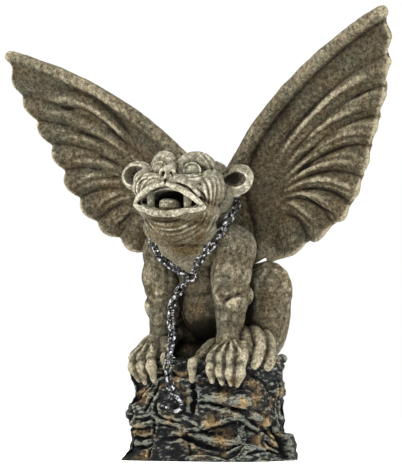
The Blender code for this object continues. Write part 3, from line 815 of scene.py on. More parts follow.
class Trunk(Shape):
    """Chest, belly, back, arms, haunches, hands and feet."""

    grain = 0.00115
    ochre = 0.15
    grounds = ((0.35, 170, 5), (0.9, 42, 6))
    muscles: Rows = (
        (50, -44, 92, 12, 12, 18, 2.2), (36, -44, 66, 8, 10, 12, 1.8), (52, -42, 52, 10, 10, 13, 2.2),
        (38, -38, 40, 8, 9, 13, 1.4), (62, -22, 84, 10, 12, 16, 1.6), (46, -44, 74, 7, 9, 6, -2.4),
        (17, -44, 112, 12, 10, 12, 1.5), (0, -44, 106, 4, 10, 20, -1.6), (86, 20, 72, 12, 18, 22, 1.6),
        (84, 12, 34, 10, 14, 14, -1.4),
    )  # fmt: skip
    stains = (
        (195, 310, 18, 0.5), (215, 381, 7, 0.8), (230, 383, 7, 0.8), (238, 383, 6, 0.8),
        (250, 372, 6, 0.9), (260, 376, 6, 0.9), (146, 372, 6, 0.8), (160, 376, 6, 0.7),
        (285, 280, 14, 0.4), (262, 300, 12, 0.4), (152, 290, 12, 0.35),
    )  # fmt: skip
    shadows = (
        (0, -22, 8, 27, 2.2), (14, -24, 30, 14, 0.9), (-18, -24, 34, 12, 0.7), (26, -28, 60, 12, 0.7),
        (-24, -28, 66, 12, 0.7), (44, 4, 52, 16, 1.0), (50, 6, 24, 16, 1.0), (52, -8, 20, 10, 0.8),
        (22, -34, 96, 8, 0.5), (-44, 4, 50, 18, 1.0), (0, -36, 84, 10, 0.4),
    )  # fmt: skip

    def build(self) -> Relief:
        """Makes the body.

        Returns:
            The carved body.
        """
        clay = Clay()
        self.trunk(clay)
        self.arms(clay)
        self.haunches(clay)
        for fingers in (LEFT_HAND, RIGHT_HAND):
            for places in fingers:
                self.finger(clay, places)
        relief = Relief(clay.skin("body", self.grain))
        relief.relax(8)
        for x, y, z, *radii, height in self.muscles:
            for side in (1, -1):
                relief.swell(spot(side * x, y, z), tuple(radii), height)
        relief.write()
        pencil = Pencil(self.view, relief)
        pencil.draw(BODY_FOLDS)
        relief.write()
        return self.weather(pencil)

    def trunk(self, clay: Clay) -> None:
        """Chest, belly and back."""
        clay.ball((0, -8, 110), (40, 36, 40))
        clay.ball((0, 14, 126), (47, 32, 38))
        clay.ball((0, 5, 62), (33, 33, 44))
        clay.ball((0, -14, 86), (25, 25, 24))
        clay.ball((0, -5, 48), (23, 24, 27))
        clay.limb([(0, 18, 132, 34), (0, 30, 92, 36), (0, 32, 52, 32)])
        clay.ball((0, 30, 34), (54, 30, 36))
        clay.ball((0, 26, 6), (58, 26, 18))
        clay.balls((17, -30, 112), (21, 15, 19))
        clay.balls((44, -20, 116), (25, 24, 27))
        clay.limb([(0, -10, 162, 33), (0, 8, 138, 40)])

    def arms(self, clay: Clay) -> None:
        """Upper arms with their muscles, forearms and wrists."""
        for side, wrist in ((1, 13.5), (-1, 11.5)):
            clay.limb(
                [(side * 43, -22, 104, 22.5), (side * 42, -26, 82, 21), (side * 41, -25, 62, 18.5),
                 (side * 42, -25, 44, 16), (side * 42, -27, 27, wrist), (side * 45, -36, 13, wrist)]
            )  # fmt: skip
            clay.ball((side * 45, -27, 88), (20, 19, 24), turn=(8, side * 6, 0))
            clay.ball((side * 48, -26, 58), (14, 16, 19))
            clay.ball((side * 44, -12, 66), (18, 16, 14))

    def haunches(self, clay: Clay) -> None:
        """Folded hind legs, and the feet beside the hands."""
        for side in (1, -1):
            clay.limb(
                [(side * 44, 34, 44, 32), (side * 58, 28, 70, 29), (side * 60, 26, 80, 25), (side * 63, 24, 48, 24),
                 (side * 65, 16, 20, 20), (side * 66, 2, 6, 14)]
            )  # fmt: skip
            clay.ball((side * 66, -2, 6), (16, 22, 12), turn=(10, 0, side * 20))
            for toe in LEFT_TOES:
                inward = 1 if side > 0 else 0.84
                clay.limb([(side * inward * x, y, z, radius) for (x, y, z), radius in zip(toe, TOE_RADII)])
        clay.ball((50, -40, 4), (26, 16, 11), turn=(20, 0, 0))
        clay.ball((-46, -40, 6), (22, 16, 11), turn=(20, 0, 0))

    def finger(self, clay: Clay, places: tuple[Point, ...]) -> None:
        """A bony finger.

        Args:
            clay: What it is pressed on.
            places: Its root, knuckle, middle joint and claw tip.
        """
        root, knuckle, joint, claw = (Vector(place) for place in places)
        steps = (root, knuckle, knuckle.lerp(joint, 0.5), joint, joint.lerp(claw, 0.45), claw)
        clay.limb([(*place, radius) for place, radius in zip(steps, FINGER_RADII)], 3)


LEFT_WING_FOLDS = folds(
    (5, -1.5, 0, 274.6, 171.4, 288.9, 142.9, 313.9, 114.3, 337.1, 89.3, 362.1, 71.4, 381.8, 58.9, 388.6, 53.6),
    (4.6, -1.5, 0, 280, 166.1, 301.4, 139.3, 330, 114.3, 355, 100, 376.4, 92, 387.1, 93.8),
    (4.2, -1.3, 0, 288.9, 160.7, 315.7, 142.9, 340.7, 130.4, 362.1, 123.2, 378.2, 123.2),
    (3.2, 1.3, 0, 277.3, 166.1, 296.1, 137.5, 326.4, 105.4, 355, 87.5, 381.8, 76.8),
    (3, 1.4, 0, 292.5, 153.6, 319.3, 133, 351.4, 116.1, 380, 108.9),
    (3, 1.3, 0, 301.4, 160.7, 326.4, 144.6, 351.4, 137.5, 372.9, 137.5),
    (2.8, 1.4, 0, 290.7, 180.4, 305, 167.9, 326.4, 159.8, 346.1, 157.1, 363, 164.3),
    (2.6, 1.4, 0, 290.7, 188.4, 308.6, 183.9, 326.4, 183.9, 344.3, 189.3, 355, 192),
    (2.6, 1.4, 0, 281.8, 198.2, 301.4, 196.4, 315.7, 202.7, 330, 213.4, 337.1, 219.6),
    (2.4, 1.1, 0, 280, 203.6, 292.5, 208, 306.8, 219.6, 317.5, 230.4),
)  # fmt: skip
RIGHT_WING_FOLDS = folds(
    (6, 2.4, 0, 26.6, 82.1, 49.1, 87, 72.9, 91.2, 92.6, 98.9, 112.2, 114.3, 130.4, 135.4, 141.7, 156.4),
    (4.5, -1.5, 0, 25.9, 98.9, 49.1, 98.9, 78.5, 101.7, 101, 114.3, 119.2, 131.2, 133.2, 149.4),
    (3, 1.2, 0, 40.7, 109.4, 63.1, 108.7, 84.2, 110.1, 103.8, 122.7, 120.6, 138.2, 134.6, 152.2),
    (3, 1.2, 0, 54, 136.8, 70.1, 132.6, 89.8, 135.4, 112.2, 146.6, 126.2, 159.2),
    (3, 1.3, 0, 65.9, 160.6, 84.2, 156.4, 106.6, 159.2, 122, 169),
    (2.8, 1.4, 0, 78.5, 187.3, 89.8, 180.3, 106.6, 177.4, 122, 178.1),
    (2.6, 1.4, 0, 97.5, 213.2, 106.6, 202.7, 120.6, 195.7, 133.2, 192.9),
    (2.4, 1.2, 0, 115.7, 228.6, 123.4, 220.9, 134.6, 209.7),
)  # fmt: skip


@dataclass
class Wing(Shape):
    """A bat wing: a thick rolled leading edge and a sheet that fans out in rounded ribs."""

    side: Side
    grain = 0.00115
    thickness = 0.0068
    relief = 4.6
    scallop = 5.0
    join = 0.22
    bar_steps, bar_root, bar_taper = 12, 9.2, 2.0
    ochre = 0.25
    grounds = ((0.3, 180, 4), (0.8, 45, 7))
    stains = (
        (330, 150, 30, 0.4), (300, 190, 24, 0.35), (90, 120, 30, 0.3), (110, 190, 20, 0.4),
    )  # fmt: skip
    # painted shade near the root and along the wing; the last, negative entry is painted light on the lower panel
    shadows = (
        (30, 20, 150, 26, 0.3), (52, 20, 180, 24, 0.3), (92, 10, 268, 26, 0.3), (54, 30, 108, 24, -0.8),
    )  # fmt: skip
    root: Points = ((27, 17, 212), (28, 20, 190), (28, 22, 160), (30, 28, 128), (32, 32, 98))
    fan: Points = (
        (58, 2, 246), (62, 10, 220), (66, 18, 196), (68, 22, 186), (68, 24, 181), (68, 25, 177),
        (68, 26, 173), (68, 27, 169), (68, 28, 163), (64, 31, 142), (52, 35, 110),
    )  # fmt: skip
    bend: Points = (
        (131, -19, 317), (134, -8, 298), (137, 0, 279), (144, 7, 266), (150, 13, 245), (136, 18, 225),
        (121, 24, 205), (118, 30, 192), (105, 33, 180), (84, 35, 146), (58, 36, 112),
    )  # fmt: skip
    rim: Points = (
        (235, -50, 352), (237, -38, 324), (229, -22, 297), (217, -8, 266), (203, 0, 236), (190, 8, 203),
        (173, 19, 173), (152, 30, 149), (119, 36, 128), (86, 38, 113), (46, 36, 99),
    )  # fmt: skip

    def curve(self, points: tuple[Point, ...], share: float) -> Vector:
        """A place on a smooth curve.

        Args:
            points: What the curve goes through.
            share: How far along it, from 0 to 1.

        Returns:
            The place on the drawing.
        """
        place = min(max(share, 0), 1) * (len(points) - 1)
        i = min(int(place), len(points) - 2)
        return between(*map(Vector, around(points, i)), place - i)

    def sheet(self, along: float, out: float) -> Vector:
        """A place on the middle of the wing.

        Args:
            along: From the leading edge, 0, to the lower edge, 1.
            out: From the root, 0, to the rim, 1.

        Returns:
            The place on the drawing, on the left wing.
        """
        root, fan = self.curve(self.root, along), self.curve(self.fan, along)
        bend, rim = self.curve(self.bend, along), self.curve(self.rim, along)
        ribs = len(self.rim) - 1
        rib = along * ribs
        crest = 2 * abs(math.cos(math.pi * rib)) - 1
        last = min(max(ribs - rib, 0) / 1.5, 1)
        rim = rim + (rim - bend).normalized() * self.scallop * (crest - 0.4) * min(rib / 1.5, last)
        if out < self.join:
            return root.lerp(fan, out / self.join)
        f = (out - self.join) / (1 - self.join)
        place = fan * (1 - f) ** 2 + bend * 2 * f * (1 - f) + rim * f**2
        rise = self.relief * crest * last * min(max(rib - 0.8, 0) / 1.2, f / 0.45, 1)
        return place + Vector((-0.28, -0.94, 0)) * rise

    def build(self) -> Relief:
        """Makes the wing.

        Returns:
            The carved wing.
        """
        side = self.side.value
        bm = bmesh.new()
        made = bmesh.ops.create_grid(bm, x_segments=180, y_segments=60, size=0.5)
        for vert in made["verts"]:
            place = self.sheet(vert.co.x + 0.5, vert.co.y + 0.5)
            vert.co = spot(side * place.x, place.y, place.z)
        bmesh.ops.recalc_face_normals(bm, faces=bm.faces)
        bmesh.ops.solidify(bm, geom=bm.faces[:], thickness=self.thickness)
        clay = Clay()
        clay.add(bm)
        bar = []
        for step in range(self.bar_steps + 1):
            place = self.sheet(0, 0.1 + 0.9 * step / self.bar_steps)
            radius = self.bar_root - self.bar_taper * step / self.bar_steps
            bar.append((side * place.x, place.y, place.z - 2, radius))
        clay.limb(bar)
        clay.limb([(side * 18, 26, 180, 17), (side * 26, 19, 202, 14), bar[0]])
        clay.limb([(side * 20, 28, 176, 19), (side * 24, 30, 140, 20), (side * 27, 30, 108, 15)])
        relief = Relief(clay.skin("wing_" + self.side.name.lower(), self.grain))
        relief.relax(10)
        pencil = Pencil(self.view, relief)
        pencil.draw(LEFT_WING_FOLDS if self.side is Side.LEFT else RIGHT_WING_FOLDS)
        relief.write()
        return self.weather(pencil, side)


ROCK_FOLDS = folds(
    (2.1, 7.5, 0, 192.7, 402.7, 204.8, 403.3, 217, 405.2, 229.1, 408.2, 241.2, 411.2, 253.3, 413.6),
    (2.8, 7.5, 0, 191.5, 378.5, 192.7, 388.2, 194.5, 397.9, 192.7, 407.6, 191.5, 417.3),
    (5.2, -4.5, 0, 197.6, 393, 212.1, 396.7, 229.1, 399.1, 243.6, 402.7, 257, 402.7),
    (1.8, 5.1, 0, 187.9, 424.5, 198.8, 429.4, 207.3, 433, 217, 434.5),
    (3.4, -3.9, 0, 250.9, 413.6, 263, 419.7, 272.7, 428.2, 280, 436.7),
    (2.1, 4.5, 0, 243.6, 417.3, 255.8, 424.5, 265.5, 431.8, 275.2, 440.3),
    (3.9, -3.9, 0, 156.4, 435.5, 168.5, 431.8, 183, 430, 193.9, 433, 204.8, 437.9, 217, 440.9, 229.1, 443.3, 241.2,
     437.9, 253.3, 433),
    (2.1, 5.1, 0, 157.6, 440.3, 170.9, 438.5, 183, 436.7, 195.2, 442.7, 204.8, 446.4, 217, 449.4, 226.7, 451.2),
    (1.5, 5.1, 0, 224.2, 451.8, 236.4, 445.2, 250.9, 440.9),
    (1.6, 4.5, 0, 134.5, 436.7, 143, 438.5, 151.5, 436.1),
    (1.6, 4.8, 0, 153.7, 418.5, 154.5, 427, 153.3, 435.5),
    (1.8, 4.5, 0, 133.3, 419.1, 141.8, 420.3, 151.5, 417.9),
    (1.8, 4.5, 0, 157.6, 397.9, 155.2, 407.6, 160, 417.3, 173.3, 422.1, 185.5, 423.3),
    (1.8, 4.8, 0, 276.4, 376.1, 280.6, 388.2, 277.6, 402.7, 278.8, 417.3, 282.4, 427),
    (1.8, 4.2, 0, 126.1, 446.4, 138.2, 447.6, 149.1, 446.4, 153.9, 439.1),
    (1.6, 3.9, 0, 149.1, 458.5, 150.3, 450, 156.4, 440.3),
    (1.8, 4.2, 0, 160, 378.5, 156.4, 390.6, 149.1, 402.7, 144.2, 413.6),
    (1.4, 3.3, 0, 241.2, 457.3, 253.3, 452.4, 267.9, 451.2, 281.2, 454.8),
    (1.6, 3.6, 0, 263, 439.1, 271.5, 446.4, 282.4, 451.2),
)  # fmt: skip


class Rock(Shape):
    """The rugged rock the beast crouches on: slabs of stone with cracks between them."""

    grain = 0.00115
    broad = 2.6
    width, depth, height = 0.168, 0.122, ROCK_TOP
    flare = 0.007
    corner = 0.42
    sunk = 0.002
    cuts = 24
    grounds = ((0.45, 150, 9),)
    slabs: Point = (10.5, 10.5, 24.0)
    stains = (
        (142.4, 428.2, 8, 1), (212.1, 423.3, 8, 1), (224.2, 395.5, 7, 0.8), (255.8, 399.1, 8, 1),
        (144.2, 395.5, 9, 0.7), (168.5, 419.7, 7, 0.6), (223, 439.1, 9, 1), (259.4, 442.7, 9, 1),
        (144.2, 456.1, 8, 0.8), (265, 421, 9, 0.9), (185, 433, 8, 0.8), (200, 455, 8, 0.5),
    )  # fmt: skip

    def build(self) -> Relief:
        """Makes the rock.

        Returns:
            The carved rock.
        """
        clay = Clay()
        self.block(clay)
        relief = Relief(clay.skin("rock", self.grain))
        relief.relax(2)
        relief.push(np.arange(len(relief.co)), np.array([self.ground(Vector(place)) for place in relief.co]))
        relief.write()
        relief.relax(2, 0.4)
        relief.tree = relief.make_tree()
        pencil = Pencil(self.view, relief)
        pencil.draw(ROCK_FOLDS)
        relief.write()
        return self.weather(pencil)

    def ground(self, place: Vector) -> float:
        """How far the rock's skin stands out at a place, in units."""
        low = max(0.0, min(1.0, place.z / 0.012))
        sway = [noise.noise(place * 26 + Vector((0, 0, 40 * k))) for k in range(3)]
        bent = place + 0.010 * Vector(sway)
        gaps, middles = noise.voronoi(Vector(a * b for a, b in zip(bent, self.slabs)))
        crack = max(0.0, 1 - (gaps[1] - gaps[0]) / 0.12)
        step = noise.cell(middles[0] * 9.7)
        tilt = noise.noise(middles[0] * 5 + (bent * 40).lerp(middles[0], 0.5))
        rise = 8.0 * (step - 0.4) + 2.6 * tilt - 2.6 * crack**1.5
        flow = Vector((place.x * 30, place.y * 30, place.z * 62 + place.x * 14))
        brushed = Vector((place.x * 60 + place.z * 45, place.y * 60, place.z * 150 - place.x * 40))
        rise += 5.0 * noise.fractal(flow, 1.1, 2.1, 3) + 1.5 * noise.fractal(brushed, 0.7, 2.1, 4)
        return min(rise, 5.5) * (0.35 + 0.65 * low)

    def block(self, clay: Clay) -> None:
        """The rough block."""
        half_x, half_y = self.width / 2, self.depth / 2
        block = bmesh.new()
        bmesh.ops.create_cube(block, size=2)
        bmesh.ops.subdivide_edges(block, edges=block.edges[:], cuts=self.cuts, use_grid_fill=True)
        for vert in block.verts:
            x, y, z = vert.co
            length = math.hypot(x, y) or 1
            plan = (1 - self.corner) + self.corner * max(abs(x), abs(y)) / length
            height = (z + 1) / 2
            flare = self.flare * max(0, 1 - 4 * height)
            inward = 1.0 - 0.05 * height
            lump = 1 + 0.05 * noise.noise(Vector((x * 1.7, y * 1.7, z * 2.5 + 9)))
            vert.co.x = x * plan * lump * (half_x * inward + flare)
            vert.co.y = y * plan * lump * (half_y * inward + flare)
            vert.co.z = height * (self.height + self.sunk) - self.sunk
        clay.add(block)


@dataclass
class Chain:
    """Chunky hand-made links, each where its plain one lies."""

    wire_sides: int = 10
    round_steps: int = 24
    side_swell: float = 0.3
    grain: float = 0.0006
    hammered: float = 0.12
    hammer_scale: float = 420
    spike_swell: float = 0.7

    def build(self, nodes: dict[str, bpy.types.Object]) -> list[bpy.types.Object]:
        """Makes every link.

        Args:
            nodes: The model's nodes by name.

        Returns:
            The links, each named for the node it stands for.
        """
        links = []
        for count, (name, node) in enumerate(sorted(nodes.items())):
            if name == "gargoyle":
                continue
            link = self.spike(node) if name == "broken_link" else self.link(node)
            link.name = link.data.name = "worn_" + name
            relief = Relief(link)
            relief.roughen(self.hammered, self.hammer_scale, count)
            relief.write()
            links.append(link)
            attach(link, "root")
            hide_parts(name)
        return links

    def spike(self, node: bpy.types.Object) -> bpy.types.Object:
        """The broken link with its bent spike, rounded off.

        Args:
            node: The plain broken link.

        Returns:
            The rounded one.
        """
        clay = Clay()
        plain = bmesh.new()
        plain.from_mesh(node.data)
        plain.transform(node.matrix_world)
        clay.add(plain)
        relief = Relief(clay.skin("spike", self.grain))
        relief.relax(3)
        relief.push(np.arange(len(relief.co)), np.full(len(relief.co), self.spike_swell))
        relief.write()
        return relief.piece

    def link(self, node: bpy.types.Object) -> bpy.types.Object:
        """A round wire bent into a long ring.

        Args:
            node: The plain link it stands for.

        Returns:
            The link, as long and as wide as the plain one.
        """
        places = np.array([tuple(node.matrix_world @ vert.co) for vert in node.data.vertices])
        middle = (places.max(0) + places.min(0)) / 2
        _, axes = np.linalg.eigh(np.cov((places - places.mean(0)).T))
        axes = axes[:, ::-1]
        if np.linalg.det(axes) < 0:
            axes[:, 2] *= -1
        spread = (places - middle) @ axes
        long, wide, thick = (spread.max(0) - spread.min(0)) / 2
        bm = bmesh.new()
        reach = wide - thick
        turn = Matrix.Translation((0, reach, 0)) @ Matrix.Rotation(math.radians(90), 4, "Y")
        bmesh.ops.create_circle(bm, segments=self.wire_sides, radius=thick, matrix=turn)
        bmesh.ops.spin(
            bm, geom=bm.verts[:] + bm.edges[:], angle=math.tau, steps=self.round_steps, axis=(0, 0, 1),
            cent=(0, 0, 0), use_merge=True,
        )  # fmt: skip
        for vert in bm.verts:
            line = Vector((vert.co.x, vert.co.y, 0)).normalized() * reach
            off = vert.co - line
            swell = 1 + self.side_swell * abs(line.y / reach) ** 2
            if off.dot(line) < 0:
                off = line / reach * off.dot(line) / reach + Vector((0, 0, off.z * swell))
            else:
                off *= swell
            vert.co = line + off
            if abs(line.x) > reach * 0.1:
                vert.co.x += math.copysign(max(long - wide, 0), vert.co.x)
        bmesh.ops.recalc_face_normals(bm, faces=bm.faces)
        bm.transform(Matrix.Translation(middle) @ Matrix(axes.tolist()).to_4x4())
        return placed("link", mesh_of(bm, "link"))


class Shades:
    """Builds a material's nodes one after another, each from left to right."""

    def __init__(self, tree: bpy.types.NodeTree) -> None:
        """Takes the tree the nodes go into."""
        self.tree = tree
        self.count = 0

    def node(self, kind: str, **settings: object) -> bpy.types.Node:
        """A node with its settings."""
        made = self.tree.nodes.new(kind)
        made.location = (180 * (self.count // 4), -220 * (self.count % 4))
        self.count += 1
        for name, value in settings.items():
            setattr(made, name, value)
        return made

    def put(self, source: object, socket: Socket) -> None:
        """Joins a socket to another, or sets it to a plain value or a colour."""
        if isinstance(source, Socket):
            self.tree.links.new(source, socket)
        else:
            socket.default_value = (*source, 1) if isinstance(source, tuple) else source

    def fill(self, made: bpy.types.Node, **inputs: object) -> bpy.types.Node:
        """The node with its inputs filled; a _ stands for a space in their names."""
        for name, source in inputs.items():
            self.put(source, made.inputs[name.replace("_", " ")])
        return made

    def noise(self, scale: float, detail: float = 3.0, rough: float = 0.55, place: object = None) -> Socket:
        """Uneven values from 0 to 1, with so many waves in a metre."""
        made = self.node("ShaderNodeTexNoise")
        self.fill(made, Scale=scale, Detail=detail, Roughness=rough, Vector=place or self.place())
        return made.outputs["Fac"]

    def place(self) -> Socket:
        """The place on the object."""
        return self.node("ShaderNodeTexCoord").outputs["Object"]

    def attribute(self, name: str) -> Socket:
        """A value kept on the mesh."""
        return self.node("ShaderNodeAttribute", attribute_name=name).outputs["Fac"]

    def span(self, value: object, low: float, high: float, start: float = 0, end: float = 1) -> Socket:
        """A value from low to high, spread from start to end and kept inside them."""
        made = self.node("ShaderNodeMapRange", interpolation_type="SMOOTHSTEP")
        self.fill(made, Value=value, From_Min=low, From_Max=high, To_Min=start, To_Max=end)
        return made.outputs["Result"]

    def math(self, operation: str, a: object, b: object = 0.0) -> Socket:
        """The outcome of a sum on two values."""
        made = self.node("ShaderNodeMath", operation=operation)
        self.put(a, made.inputs[0])
        self.put(b, made.inputs[1])
        return made.outputs[0]

    def mix(self, share: object, a: object, b: object, blend: str = "MIX") -> Socket:
        """A colour between two."""
        made = self.node("ShaderNodeMix", data_type="RGBA", blend_type=blend)
        return self.fill(made, Factor=share, A=a, B=b).outputs["Result"]

    def bump(self, height: object, distance: float, strength: float = 1.0) -> Socket:
        """A bent normal."""
        made = self.node("ShaderNodeBump")
        return self.fill(made, Distance=distance, Strength=strength, Height=height).outputs["Normal"]


class Weathering:
    """The wear that all the finishes share: dirt and painted shade in the hollows, pale rubbed crests that are partly
    painted light, and fine speckle.
    """

    def __init__(self) -> None:
        """Builds the node group once."""
        tree = bpy.data.node_groups.new("weathering", "ShaderNodeTree")
        # Dirt is the dark colour of dirt and painted shade, and Dirt Share sets how much of it the hollows take
        colours, shares = ("Ground", "Dirt", "Rubbed"), ("Dirt Share", "Rub Share", "Speckle", "Mottle")
        for name in colours + shares:
            kind = "NodeSocketColor" if name in colours else "NodeSocketFloat"
            tree.interface.new_socket(name, in_out="INPUT", socket_type=kind)
        tree.interface.new_socket("Color", in_out="OUTPUT", socket_type="NodeSocketColor")
        tree.interface.new_socket("Height", in_out="OUTPUT", socket_type="NodeSocketFloat")
        shades = Shades(tree)
        given = shades.node("NodeGroupInput").outputs
        fine, coarse = shades.noise(430, 5, 0.85), shades.noise(225, 5, 0.75)
        # hollow carries the dark wash and painted shade; crest carries rubbed paint and painted light
        hollow, crest = shades.attribute("hollow"), shades.attribute("crest")
        uneven = shades.span(coarse, 0.3, 0.7, 0.55, 1.35)
        # dirt and painted shade in the hollows
        dirt = shades.math("MULTIPLY", shades.math("MULTIPLY", hollow, given["Dirt Share"]), uneven)
        # pale rubbed crests, partly painted light
        rub_and_painted_light = shades.math("MULTIPLY", shades.math("MULTIPLY", crest, given["Rub Share"]), uneven)
        mottle = shades.mix(shades.span(coarse, 0.36, 0.62), given["Dirt"], given["Ground"])
        ground = shades.mix(shades.math("SUBTRACT", 1.0, given["Mottle"]), mottle, given["Ground"])
        # rubbed paint and painted light on the crests, then dirt and painted shade in the hollows
        colour = shades.mix(shades.span(rub_and_painted_light, 0.05, 0.9), ground, given["Rubbed"])
        colour = shades.mix(shades.span(dirt, 0.05, 0.95), colour, given["Dirt"])
        pits = shades.math("MULTIPLY", shades.span(fine, 0.60, 0.74), shades.math("MULTIPLY", given["Speckle"], 0.8))
        colour = shades.mix(pits, colour, given["Dirt"])
        colour = shades.mix(given["Speckle"], colour, shades.span(fine, 0.30, 0.66, 1.75, 0.40), "MULTIPLY")
        height = shades.math("SUBTRACT", shades.math("MULTIPLY", coarse, 0.5), shades.math("MULTIPLY", pits, 0.8))
        shades.fill(shades.node("NodeGroupOutput"), Color=colour, Height=height)
        self.tree = tree

    def coat(self, shades: Shades, shader: bpy.types.Node, finish: StoneFinish | RockFinish, **inputs: object) -> None:
        """Coats a shader with worn stone.

        Args:
            shades: The material's nodes.
            shader: The material's shader.
            finish: What is even all over: the colour of dirt and painted shade, roughness, shine and bumps.
            inputs: The group's other inputs.
        """
        group = shades.node("ShaderNodeGroup", node_tree=self.tree)
        worn = shades.fill(group, Dirt=finish.dirt, Speckle=SPECKLE, **inputs).outputs
        shades.fill(
            shader, Base_Color=worn["Color"], Roughness=finish.roughness, Specular_IOR_Level=finish.shine,
            Normal=shades.bump(worn["Height"], finish.bump),
        )  # fmt: skip


def blank(name: str) -> tuple[bpy.types.Material, Shades, bpy.types.Node]:
    """A new material, its nodes, and its shader."""
    made = bpy.data.materials.new(name)
    made.use_nodes = True
    return made, Shades(made.node_tree), made.node_tree.nodes["Principled BSDF"]


@dataclass(frozen=True)
class StoneFinish:
    """Warm grey cast stone, pitted and speckled, with brown dirt and painted shade in its hollows."""

    name: str = "stone_body"
    ground: Colour = (0.118, 0.100, 0.064)
    warm: Colour = (0.125, 0.080, 0.030)
    cool: Colour = (0.105, 0.106, 0.078)
    # dark colour of dirt and painted shade
    dirt: Colour = (0.012, 0.009, 0.005)
    rubbed: Colour = (0.35, 0.31, 0.215)
    mottle: float = 0.75
    roughness: float = 0.92
    shine: float = 0.12
    bump: float = 0.0016

    def make(self, wear: Weathering) -> bpy.types.Material:
        """The stone's material."""
        made, shades, shader = blank(self.name)
        patches = shades.noise(22, 3, 0.6)
        ground = shades.mix(shades.span(patches, 0.42, 0.62), self.ground, self.cool)
        uneven = shades.span(shades.noise(60), 0.3, 0.6, 0.45)
        tint = shades.math("MULTIPLY", shades.attribute("ochre"), uneven)
        ground = shades.mix(tint, ground, self.warm)
        wear.coat(
            shades, shader, self, Ground=ground, Rubbed=self.rubbed, Dirt_Share=1.15, Rub_Share=0.9, Mottle=self.mottle
        )
        return made


@dataclass(frozen=True)
class RockFinish:
    """Blue-black rock, dry-brushed with grey-green, with ochre on its bulges."""

    ground: Colour = (0.010, 0.011, 0.012)
    # dark colour of dirt and painted shade
    dirt: Colour = (0.002, 0.002, 0.0025)
    rubbed: Colour = (0.16, 0.17, 0.14)
    ochre: Colour = (0.36, 0.235, 0.10)
    roughness: float = 0.85
    shine: float = 0.15
    bump: float = 0.0016

    def make(self, wear: Weathering) -> bpy.types.Material:
        """The rock's material."""
        made, shades, shader = blank("rock")
        patches = shades.span(shades.noise(46, 5, 0.7), 0.54, 0.66)
        tint = shades.math("MAXIMUM", shades.math("MULTIPLY", patches, 0.75), shades.attribute("ochre"))
        ground = shades.mix(shades.math("MULTIPLY", tint, 0.55), self.ground, self.ochre)
        rubbed = shades.mix(tint, self.rubbed, self.ochre)
        slanted = shades.node("ShaderNodeMapping")
        slanted.inputs["Rotation"].default_value = (0.5, 0.45, 0)
        slanted.inputs["Scale"].default_value = (1, 1, 3)
        lined = shades.fill(slanted, Vector=shades.place()).outputs["Vector"]
        streaks = shades.span(shades.noise(120, 5, 0.75, lined), 0.42, 0.60, 0.15, 1.9)
        wear.coat(shades, shader, self, Ground=ground, Rubbed=rubbed, Dirt_Share=1.0, Rub_Share=streaks, Mottle=0.7)
        return made


@dataclass(frozen=True)
class IronFinish:
    """Black iron, dry-brushed with silver."""

    ground: Colour = (0.005, 0.005, 0.006)
    silver: Colour = (0.80, 0.80, 0.82)
    roughness: float = 0.5
    shine: float = 0.25
    bump: float = 0.0008

    def make(self) -> bpy.types.Material:
        """The iron's material."""
        made, shades, shader = blank("iron")
        worn = shades.span(shades.noise(250, 5, 0.75), 0.51, 0.60)
        colour, metallic = shades.mix(worn, self.ground, self.silver), shades.math("MULTIPLY", worn, 0.5)
        shades.fill(
            shader, Base_Color=colour, Metallic=metallic, Specular_IOR_Level=self.shine,
            Roughness=self.roughness, Normal=shades.bump(shades.noise(420), self.bump, 0.8),
        )  # fmt: skip
        return made


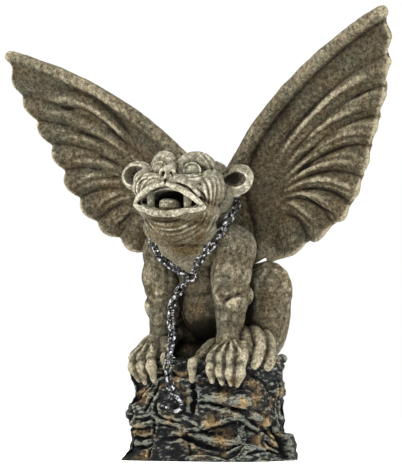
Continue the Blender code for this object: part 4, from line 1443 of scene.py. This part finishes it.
@dataclass
class Studio:
    """A pale floor, soft lights and the camera."""

    view: Viewpoint
    floor_size: float = 40.0
    floor_colour: Colour = (0.86, 0.86, 0.85)
    floor_glow: float = 0.66
    white: Colour = (1.0, 1.0, 1.0)
    sky: float = 1.0
    glow: float = 0.42
    aim: Point = (0, 0, 0.25)
    lights: ClassVar[dict[str, tuple[Point, float, float]]] = {
        "left": ((-1.3, -1.5, 1.5), 0.9, 42), "right": ((1.8, 0.5, 1.3), 0.9, 42), "front": ((0.5, -1.5, 1.7), 0.8, 24),
    }  # fmt: skip

    def light(self, name: str, place: Point, size: float, power: float) -> None:
        """A square soft light that looks at the figure.

        Args:
            name: Its name.
            place: Where it stands, in metres.
            size: Its side, in metres.
            power: Its power, in watts.
        """
        data = bpy.data.lights.new(name, "AREA")
        data.shape = "SQUARE"
        data.size = size
        data.energy = power
        lamp = placed(name, data)
        aim = Vector(self.aim) - Vector(place)
        lamp.matrix_world = Matrix.Translation(place) @ aim.to_track_quat("-Z", "Y").to_matrix().to_4x4()

    def build(self) -> None:
        """Sets up floor, lights, sky and camera."""
        bm = bmesh.new()
        bmesh.ops.create_grid(bm, x_segments=1, y_segments=1, size=self.floor_size / 2)
        floor = placed("floor", mesh_of(bm, "floor"))
        paint, shades, shader = blank("floor")
        shades.fill(
            shader, Base_Color=self.floor_colour, Roughness=0.9, Emission_Color=self.white,
            Emission_Strength=self.floor_glow,
        )  # fmt: skip
        floor.data.materials.append(paint)
        world = bpy.data.worlds.new("sky")
        world.use_nodes = True
        shades, background = Shades(world.node_tree), world.node_tree.nodes["Background"]
        seen = shades.node("ShaderNodeLightPath").outputs["Is Camera Ray"]
        shades.fill(background, Color=self.white, Strength=shades.span(seen, 0, 1, self.glow, self.sky))
        bpy.context.scene.world = world
        for name, (place, size, power) in self.lights.items():
            self.light(name, place, size, power)
        bpy.context.scene.view_settings.view_transform = "Standard"
        self.view.make()


def dress(relief: Relief, material: bpy.types.Material) -> bpy.types.Object:
    """Finishes one carved piece of the casting.

    Args:
        relief: The piece.
        material: Its finish.

    Returns:
        The piece, riding on the model's one body.
    """
    most = WING_TRIANGLES if relief.piece.name.startswith("wing") else PIECE_TRIANGLES
    piece = thinned(relief.piece, most)
    piece.data.materials.clear()
    piece.data.materials.append(material)
    piece.data.shade_smooth()
    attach(piece, "root")
    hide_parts("gargoyle")
    LOG.info("%s: %d faces", piece.name, len(piece.data.polygons))
    return piece


def main() -> None:
    """Builds the dressed gargoyle piece by piece."""
    logging.basicConfig(level=logging.INFO, format="%(name)s: %(message)s")
    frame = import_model()
    view = Viewpoint()
    wear = Weathering()
    body, rock, iron = StoneFinish().make(wear), RockFinish().make(wear), IronFinish().make()
    # a lighter copy of the stone for the head: painted light on the face
    head = StoneFinish(
        "stone_head_lit", (0.25, 0.222, 0.155), (0.092, 0.066, 0.028), (0.215, 0.205, 0.148),
        rubbed=(0.56, 0.52, 0.40), mottle=0.5,
    ).make(wear)  # fmt: skip
    # a darker copy of the stone for the wings: painted shade
    wing = StoneFinish(
        "stone_wing_shaded", (0.094, 0.077, 0.048), (0.11, 0.073, 0.03), (0.082, 0.083, 0.058),
        rubbed=(0.30, 0.26, 0.175),
    ).make(wear)  # fmt: skip
    shapes = (
        (Head(view), head), (Trunk(view), body), (Wing(view, Side.LEFT), wing), (Wing(view, Side.RIGHT), wing),
        (Rock(view), rock),
    )  # fmt: skip
    for shape, finish in shapes:
        relief = shape.build()
        relief.note_depths(FINE_HOLLOW, shape.broad)
        dress(relief, finish)
    for link in Chain().build(frame["nodes"]):
        link.data.materials.append(iron)
        link.data.shade_smooth()
    Studio(view).build()


if __name__ == "__main__":
    main()
